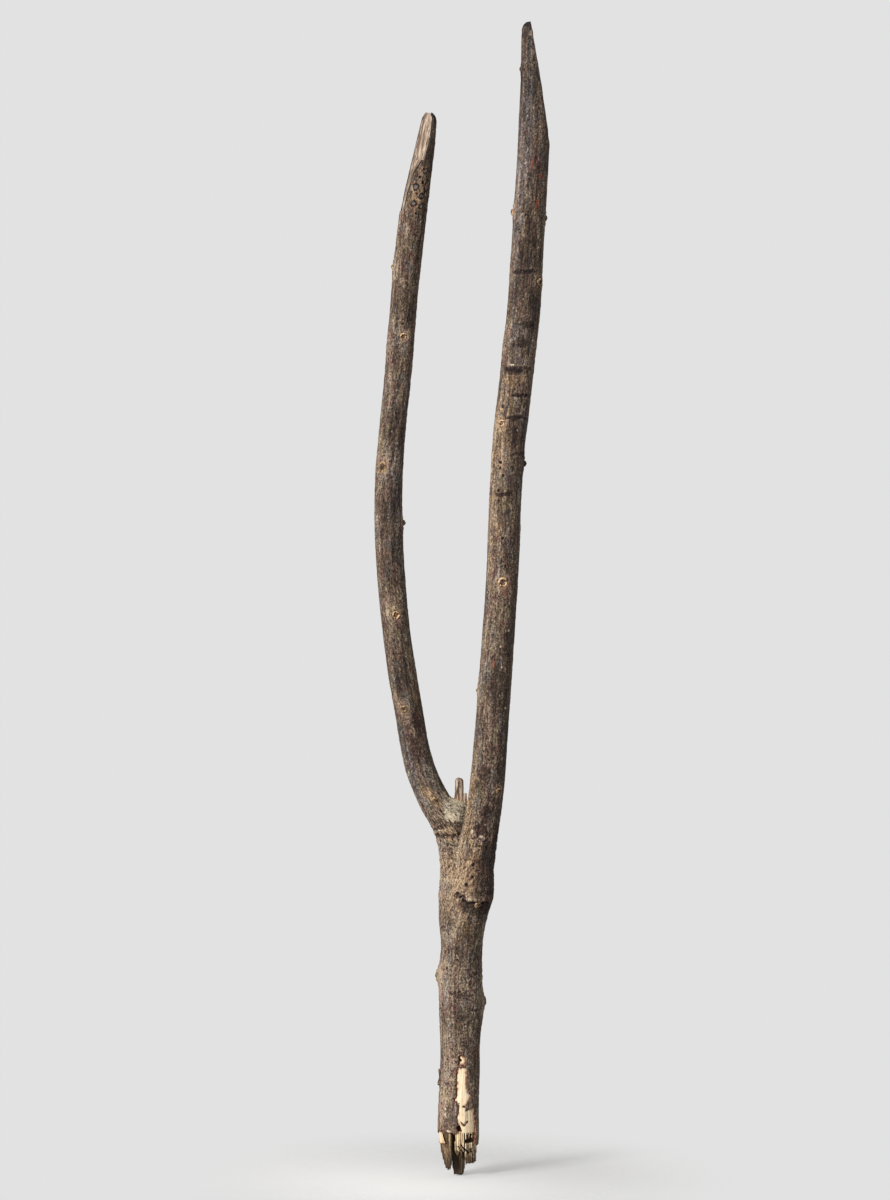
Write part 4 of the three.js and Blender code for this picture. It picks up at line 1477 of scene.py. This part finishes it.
def wood_material(name, fibre_size, stops, stain_and_shade, stain_and_shade_at):
    """Bare wood: fibres along the grain through stops of colour, stained and given painted shade where the
    function passed last says.
    """
    m = Material(name)
    grain = m.vector("grain")
    lines = m.noise(grain, fibre_size, 4.0, 0.6, 0.2)
    fine = m.noise(grain, (0.3, 0.3, 5.0), 2.0, 0.6)
    cloud = m.noise(grain, (4.0, 4.0, 9.0), 3.0)
    tone = m.plus(m.times(lines, 0.6), m.times(fine, 0.4))
    colour = m.ramp(tone, *stops)
    colour = stain_and_shade_at(m, colour, cloud, tone, stain_and_shade)
    return m.done(colour, 0.72, m.plus(m.times(lines, 0.6), m.times(fine, 0.5)), 0.0004, 0.3)


def window_stains_and_shade(m, colour, cloud, tone, stain_and_shade):
    """Darker in cracks and on the wood's lower rim, partly painted shade, and pinkish brown along the torn
    edge of the bark.
    """
    colour = m.tint(colour, m.uneven("edge", (tone, 5.0)), 1.8, 0.4, 0.95, srgb(124, 60, 38))
    colour = m.tint(colour, cloud, 0.56, 0.75, 0.25, srgb(240, 206, 162))
    return m.mix(m.step(m.number("crack"), 0.15, 0.5), colour, stain_and_shade)


def whittled_stains(m, colour, cloud, tone, stain_and_shade):
    """Greyer in clouds, with thin dark checks along the grain and dark crumbs of bark left on it."""
    colour = m.tint(colour, cloud, 0.45, 0.7, 0.35, srgb(96, 80, 68))
    streaks = m.noise(m.vector("grain"), (1.6, 1.6, 30.0), 2.0)
    colour = m.tint(colour, streaks, 0.56, 0.44, 0.85, srgb(86, 66, 54))
    checks = m.noise(m.vector("grain"), (0.9, 0.9, 14.0), 2.0)
    colour = m.tint(colour, checks, 0.42, 0.32, 0.7, stain_and_shade)
    crumbs = m.noise(m.vector("grain"), (1.5, 1.5, 2.4), 3.0, 0.7)
    return m.tint(colour, crumbs, 0.58, 0.70, 0.7, stain_and_shade)


def darkened_stains(m, colour, cloud, tone, stain_and_shade):
    """Dark streaks and crumbs, with reddish spots."""
    colour = m.tint(colour, cloud, 0.42, 0.62, 0.7, srgb(66, 54, 48))
    crumbs = m.noise(m.vector("grain"), (1.4, 1.4, 2.2), 3.0, 0.7)
    colour = m.tint(colour, crumbs, 0.5, 0.66, 0.8, stain_and_shade)
    reddish = m.cells(m.vector("grain"), (5.0, 5.0, 9.0))
    return m.tint(colour, reddish, 0.22, 0.08, 0.7, srgb(120, 62, 44))


def torn_stains_and_shade(m, colour, cloud, tone, stain_and_shade):
    """Stained as other fibres are, with painted shade where the wood is torn out deep."""
    colour = m.tint(colour, m.number("deep"), 0.5, 2.5, 0.85, stain_and_shade)
    clots = m.noise(m.vector("grain"), (2.4, 2.4, 2.0), 3.0, 0.7)
    colour = m.tint(colour, m.uneven("down", (clots, 2.2)), 0.5, 0.85, 0.9, srgb(84, 60, 38))
    return fibre_stains_and_shade(m, colour, cloud, tone, stain_and_shade)


def fibre_stains_and_shade(m, colour, cloud, tone, stain_and_shade):
    """Painted shade between the fibres, and darker towards the ragged ends."""
    colour = m.tint(colour, m.number("seam"), 0.3, 0.9, 0.8, stain_and_shade)
    colour = m.tint(colour, m.uneven("fibre", (tone, 1.6)), 0.55, 0.85, 0.75, srgb(186, 160, 122))
    ends = m.uneven("down", (m.number("fibre"), 0.6), (tone, 2.6))
    return m.tint(colour, ends, 0.42, 0.95, 0.8, stain_and_shade)


SOUND = (
    (0.36, srgb(198, 160, 118)),
    (0.44, srgb(230, 206, 170)),
    (0.56, srgb(242, 224, 194)),
    (0.70, srgb(250, 241, 222)),
)
TORN = (
    (0.30, srgb(140, 108, 76)),
    (0.42, srgb(204, 176, 138)),
    (0.54, srgb(236, 214, 176)),
    (0.76, srgb(250, 236, 210)),
)
AGED = (
    (0.30, srgb(80, 63, 50)),
    (0.44, srgb(142, 123, 106)),
    (0.56, srgb(174, 156, 139)),
    (0.78, srgb(218, 200, 180)),
)
BROWN = (
    (0.32, srgb(30, 20, 12)),
    (0.46, srgb(78, 57, 38)),
    (0.56, srgb(118, 94, 68)),
    (0.72, srgb(182, 158, 124)),
)
DARK = (
    (0.30, srgb(46, 37, 33)),
    (0.46, srgb(92, 80, 70)),
    (0.60, srgb(122, 108, 96)),
    (0.78, srgb(160, 146, 128)),
)


def knot_material(name, face, rim, heart, hollow):
    """A knot's crumbly end: a broken lighter rim and, as far as it is hollow, a dark heart."""
    m = Material(name)
    grain = m.vector("grain")
    cloud = m.noise(grain, (1.1, 1.1, 1.1), 4.0, 0.7)
    broad = m.noise(grain, (3.0, 3.0, 3.0), 2.0)
    wobble = m.uneven("part", (cloud, 1.3))
    dark = tuple(shade * 0.3 for shade in face[:3]) + (1,)
    colour = m.ramp(cloud, (0.34, dark), (0.5, face), (0.66, rim))
    colour = m.tint(colour, wobble, 0.45, 0.75, m.step(broad, 0.44, 0.56), rim)
    colour = m.tint(colour, wobble, 0.62, 0.34, hollow, heart)
    colour = m.tint(colour, wobble, 0.85, 1.1, 0.3, dark)
    return m.done(colour, 0.85, cloud, 0.0009, 0.3)


def gall_material():
    """Black, slightly glossy blisters, burst to grey in the middle, with tan crumbs round them."""
    m = Material("gall")
    grain = m.vector("grain")
    cloud = m.noise(grain, (0.9, 0.9, 0.9), 3.0, 0.7)
    colour = m.ramp(cloud, (0.38, srgb(8, 7, 7)), (0.60, srgb(24, 21, 21)), (0.74, srgb(90, 84, 82)))
    colour = m.tint(colour, m.uneven("part", (cloud, 1.2)), 0.72, 0.95, 0.9, srgb(178, 122, 82))
    colour = m.tint(colour, m.uneven("part", (cloud, 0.7)), 0.46, 0.26, 0.8, srgb(118, 108, 102))
    return m.done(colour, 0.6, cloud, 0.0009, 0.3)


def twig_material():
    """Dead twig: grey-brown and ridged, with orange crumbs where it breaks out of the bark."""
    m = Material("twig")
    grain = m.vector("grain")
    lines = m.noise(grain, (0.8, 0.8, 9.0), 4.0, 0.6)
    specks = m.noise(grain, (1.0, 1.0, 1.3), 3.0, 0.7)
    # lighter on the ridges and darker in the grooves between them: painted highlight and painted shade
    grooves = m.times(m.step(m.number("groove"), -0.4, 0.4), 0.9)
    tone = m.plus(m.swing(lines, 1.5), m.swing(specks, 1.2), grooves)
    colour = m.ramp(tone, (0.1, srgb(62, 48, 40)), (0.42, srgb(128, 108, 92)), (0.8, srgb(182, 164, 144)))
    colour = m.tint(colour, m.uneven("up", (specks, 2.0)), 0.3, 0.0, 0.6, srgb(150, 108, 76))
    return m.done(colour, 0.85, m.plus(lines, specks), 0.0006, 0.3)


BARK_SKIN = bark_material()
SAPWOOD = wood_material("sapwood", (1.1, 1.1, 16.0), SOUND, srgb(66, 38, 24), window_stains_and_shade)
WHITTLED = wood_material("whittled_wood", (1.0, 1.0, 18.0), AGED, srgb(46, 34, 28), whittled_stains)
DARKENED = wood_material("darkened_wood", (1.2, 1.2, 16.0), DARK, srgb(36, 28, 26), darkened_stains)
PALE_FIBRES = wood_material("pale_fibres", (0.6, 0.6, 9.0), TORN, srgb(62, 42, 26), torn_stains_and_shade)
CHIP_WOOD = wood_material("chip_wood", (0.6, 0.6, 9.0), SOUND, srgb(150, 110, 74), fibre_stains_and_shade)
BROWN_FIBRES = wood_material("brown_fibres", (0.6, 0.6, 9.0), BROWN, srgb(32, 21, 14), fibre_stains_and_shade)
TAN_KNOT = knot_material("tan_knot", srgb(96, 72, 54), srgb(176, 148, 112), srgb(24, 15, 12), 0.6)
HOLLOW_KNOT = knot_material("hollow_knot", srgb(108, 74, 52), srgb(224, 190, 150), srgb(14, 9, 8), 1.0)
BUD = knot_material("bud", srgb(120, 104, 84), srgb(156, 138, 114), srgb(50, 36, 28), 0.6)
DARK_KNOT = knot_material("dark_knot", srgb(52, 41, 36), srgb(90, 74, 62), srgb(20, 15, 14), 0.5)
GALL = gall_material()
TWIG_WOOD = twig_material()


# ---------------------------------------------------------------- assembly

HOLLOW_KNOTS = ("left_tine_knot_2", "left_tine_knot_5", "right_tine_knot_7", "right_tine_knot_5")
DARK_KNOTS = ("right_tine_knot_3", "right_tine_knot_6", "right_tine_knot_1")


def build_handle():
    """The handle's bark with its torn window, and its wood."""
    bark = sleeve("handle_bark_skin", RIGHT, lower_edge, UNION_START)
    for outline, seed in zip(WINDOWS, WINDOW_SEEDS):
        cut(bark, window_cutter(outline, seed))
    paint_bark(bark, RIGHT)
    finish(bark, BARK_SKIN, "bark", "handle_bark")
    wood = core("handle_wood", RIGHT, BREAK - 0.3, UNION_START, (BREAK - 0.3, -24))
    paint_wood(wood, RIGHT)
    finish(wood, SAPWOOD, "sapwood", "handle_core")


def build_tine(side, limb, tip, bark_top):
    """A tine's wood and its bark, which is made as a lower and an upper sleeve."""
    middle = (TINE_START + tip) / 2
    for part, low, high, end in (("lower", TINE_START, middle, None), ("upper", middle, bark_top, tip + 1)):
        bark = sleeve(f"{side}_tine_bark_{part}", limb, low, high, end)
        if part == "upper":
            whittle(bark, limb)
        paint_bark(bark, limb)
        finish(bark, BARK_SKIN, "bark", f"{side}_tine_bark")
    whittled_from = min(low[0] for _, low, _ in FLATS[limb]) - 6
    wood = core(f"{side}_tine_wood", limb, TINE_START, tip - 0.1, (whittled_from, tip), tip)
    whittle(wood, limb)
    paint_wood(wood, limb)
    finish(wood, WHITTLED if limb is LEFT else DARKENED, "sapwood", f"{side}_tine_core")


def build_knots():
    """Every knot, bud and gall, each with a face and a material of its kind."""
    for number, spot in enumerate(SPOTS[LEFT] + SPOTS[RIGHT]):
        name = spot.node + "_face"
        if "gall" in spot.node:
            piece = pimple(name, spot, gall_rise(spot, number), seed=300 + number, tall=1.1, grow=1.9)
            finish(piece, GALL, "gall", spot.node)
            continue
        rise = knot_rise(spot, spot.node in HOLLOW_KNOTS)
        tall = 1.5 if "bud" in spot.node or spot.node == "left_tine_knot_3" else 1.0
        grow = 0.75 if spot.node == "union_scar_knot" else 1.0
        piece = pimple(name, spot, rise, seed=200 + number, tall=tall, grow=grow)
        material = HOLLOW_KNOT if spot.node in HOLLOW_KNOTS else TAN_KNOT
        if "bud" in spot.node or spot.node == "left_tine_knot_4":
            material = BUD
        if spot.node in DARK_KNOTS:
            material = DARK_KNOT
        finish(piece, material, "knot", spot.node)


# What is torn out of the front and right splinters: two ends as x and level, and a radius.
FRONT_GOUGES = [
    ((-1.6, -99.2), (2.6, -105), 0.55),
    ((0.2, -97.6), (2.8, -101), 0.5),
    ((-4.6, -90), (-4.2, -95), 0.6),
]
RIGHT_GOUGES = [
    ((5.2, -95.0), (10.4, -94.4), 2.0),
    ((5.2, -93), (5.0, -90.2), 0.8),
    ((7.6, -93), (8.0, -89.8), 0.8),
    ((10.4, -93), (10.8, -89.6), 0.8),
    ((3.2, -101), (6.6, -104.6), 0.7),
    ((8.4, -104), (8.2, -101.4), 0.7),
    ((11.2, -103.6), (10.6, -100.8), 0.7),
]
# The chip's outline as x and level.
CHIP = [(-17.9, -97.8), (-12.0, -96.8), (-13.4, -93.4), (-15.0, -87.5), (-16.9, -87.5)]


def build_break():
    """The splinters, as bundles of fibres: brown at the left and back, pale at the right."""
    brown = (
        Splinter("splinter_left", 413, 1.5, 5, (2.2, 7.0)),
        Splinter("splinter_middle", 415, 1.4, 3, (7.0, 7.0)),
        Splinter("splinter_back", 413, 1.7, 8, (2.0, 2.0)),
    )
    pale = (
        Splinter("splinter_front", 434, 1.5, 5, (3.0, 4.0), 0.7, [(-96, 1.0)], FRONT_GOUGES),
        Splinter("splinter_right", 434, 1.6, 3, (5.0, 4.0), 0.8, [(-104, 1.0)], RIGHT_GOUGES),
    )
    for splinter in brown:
        splinter.build(BROWN_FIBRES, "weathered_wood")
    for splinter in pale:
        splinter.build(PALE_FIBRES, "sapwood")
    chip = Splinter("splinter_chip", 433, 1.4, 0, (1.0, 1.0), 0.15, outline=CHIP)
    chip.build(CHIP_WOOD, "sapwood")


def build_union():
    """The union's bark, round the CAD's own core, which nothing shows."""
    finish(union_bark(), BARK_SKIN, "bark", "union_bark")
    frame["nodes"]["union_core"].data.materials.clear()
    frame["nodes"]["union_core"].data.materials.append(SAPWOOD)


build_handle()
build_union()
build_tine("left", LEFT, LEFT_TIP, LEFT_TIP - 0.6)
build_tine("right", RIGHT, RIGHT_TIP, RIGHT_TIP - 1.5)
build_knots()
build_break()
twig("dead_twig_stub", "dead_twig", 1.2, 0.16, 501)
twig("dead_twig_splinter_stub", "dead_twig_splinter", 1.6, 0.3, 507, point=0.3)
flake("bark_flake")


# ---------------------------------------------------------------- floor, light and camera

BACKGROUND = srgb(226, 226, 226)
EYE = (-0.0124, -2.667, 0.336)  # the camera looks level at the middle of the fork from the front
LIT = (0, 0, 0.34)  # the middle of the fork, which the lamps face
AMBIENT = 0.32  # how brightly the surround lights the fork


def world():
    """A pale grey surround, which lights the fork less than it shows."""
    scene_world = bpy.data.worlds.new("surround")
    scene_world.use_nodes = True
    nodes, links = scene_world.node_tree.nodes, scene_world.node_tree.links
    seen = nodes["Background"]
    seen.inputs["Color"].default_value = BACKGROUND
    lit = nodes.new("ShaderNodeBackground")
    lit.inputs["Color"].default_value = srgb(236, 234, 230)
    lit.inputs["Strength"].default_value = AMBIENT
    rays, mixed = nodes.new("ShaderNodeLightPath"), nodes.new("ShaderNodeMixShader")
    links.new(rays.outputs["Is Camera Ray"], mixed.inputs[0])
    links.new(lit.outputs[0], mixed.inputs[1])
    links.new(seen.outputs[0], mixed.inputs[2])
    links.new(mixed.outputs[0], nodes["World Output"].inputs["Surface"])
    bpy.context.scene.world = scene_world


def area_light(name, place, power):
    """A soft warm-white lamp that faces the middle of the fork."""
    light = bpy.data.lights.new(name, "AREA")
    light.shape, light.size, light.size_y = "RECTANGLE", 0.8, 1.0
    light.energy, light.color = power, (1.0, 0.985, 0.955)
    lamp = bpy.data.objects.new(name, light)
    lamp.location = place
    lamp.rotation_euler = (Vector(LIT) - Vector(place)).to_track_quat("-Z", "Y").to_euler()
    bpy.context.collection.objects.link(lamp)


def floor():
    """A pale round floor that fades into the surround, just under the fork."""
    low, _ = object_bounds()
    radius, gap, thickness = 0.24, 0.5, 4
    angle = np.linspace(0, TAU, 96, endpoint=False)
    top = spread(np.cos(angle), np.sin(angle)) * radius / MM
    top[:, 2] = low[2] / MM - gap
    ground = plug("floor", [top - (0, 0, thickness), top])
    m = Material("floor")
    place = m.node("ShaderNodeTexCoord", {}, "Object")
    flat = m.node("ShaderNodeVectorMath", {0: place, 1: (1, 1, 0)}, operation="MULTIPLY")
    away = m.node("ShaderNodeVectorMath", {0: flat}, "Value", operation="LENGTH")
    m.shader.inputs["Base Color"].default_value = srgb(214, 214, 214)
    m.shader.inputs["Roughness"].default_value = 0.9
    m.shader.inputs["Specular IOR Level"].default_value = 0.1
    m.shader.inputs["Emission Color"].default_value = (1, 1, 1, 1)
    m.shader.inputs["Emission Strength"].default_value = 0.165
    shown = m.times(m.step(away, radius, radius * 0.1), 0.6)
    m.tree.links.new(shown, m.shader.inputs["Alpha"])
    ground.data.materials.append(m.material)
    ground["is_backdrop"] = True


def camera():
    """A long lens, level with the middle of the fork."""
    lens = bpy.data.cameras.new("camera")
    lens.lens, lens.sensor_width, lens.sensor_fit = 100, 36, "AUTO"
    eye = bpy.data.objects.new("camera", lens)
    eye.location = EYE
    eye.rotation_euler = (math.pi / 2, 0, 0)
    bpy.context.collection.objects.link(eye)
    bpy.context.scene.camera = eye


world()
floor()
camera()
area_light("key", (-2.09, -2.32, 1.42), 185)
area_light("rim", (2.5, 0.9, 0.9), 15)
bpy.context.scene.view_settings.view_transform = "Standard"
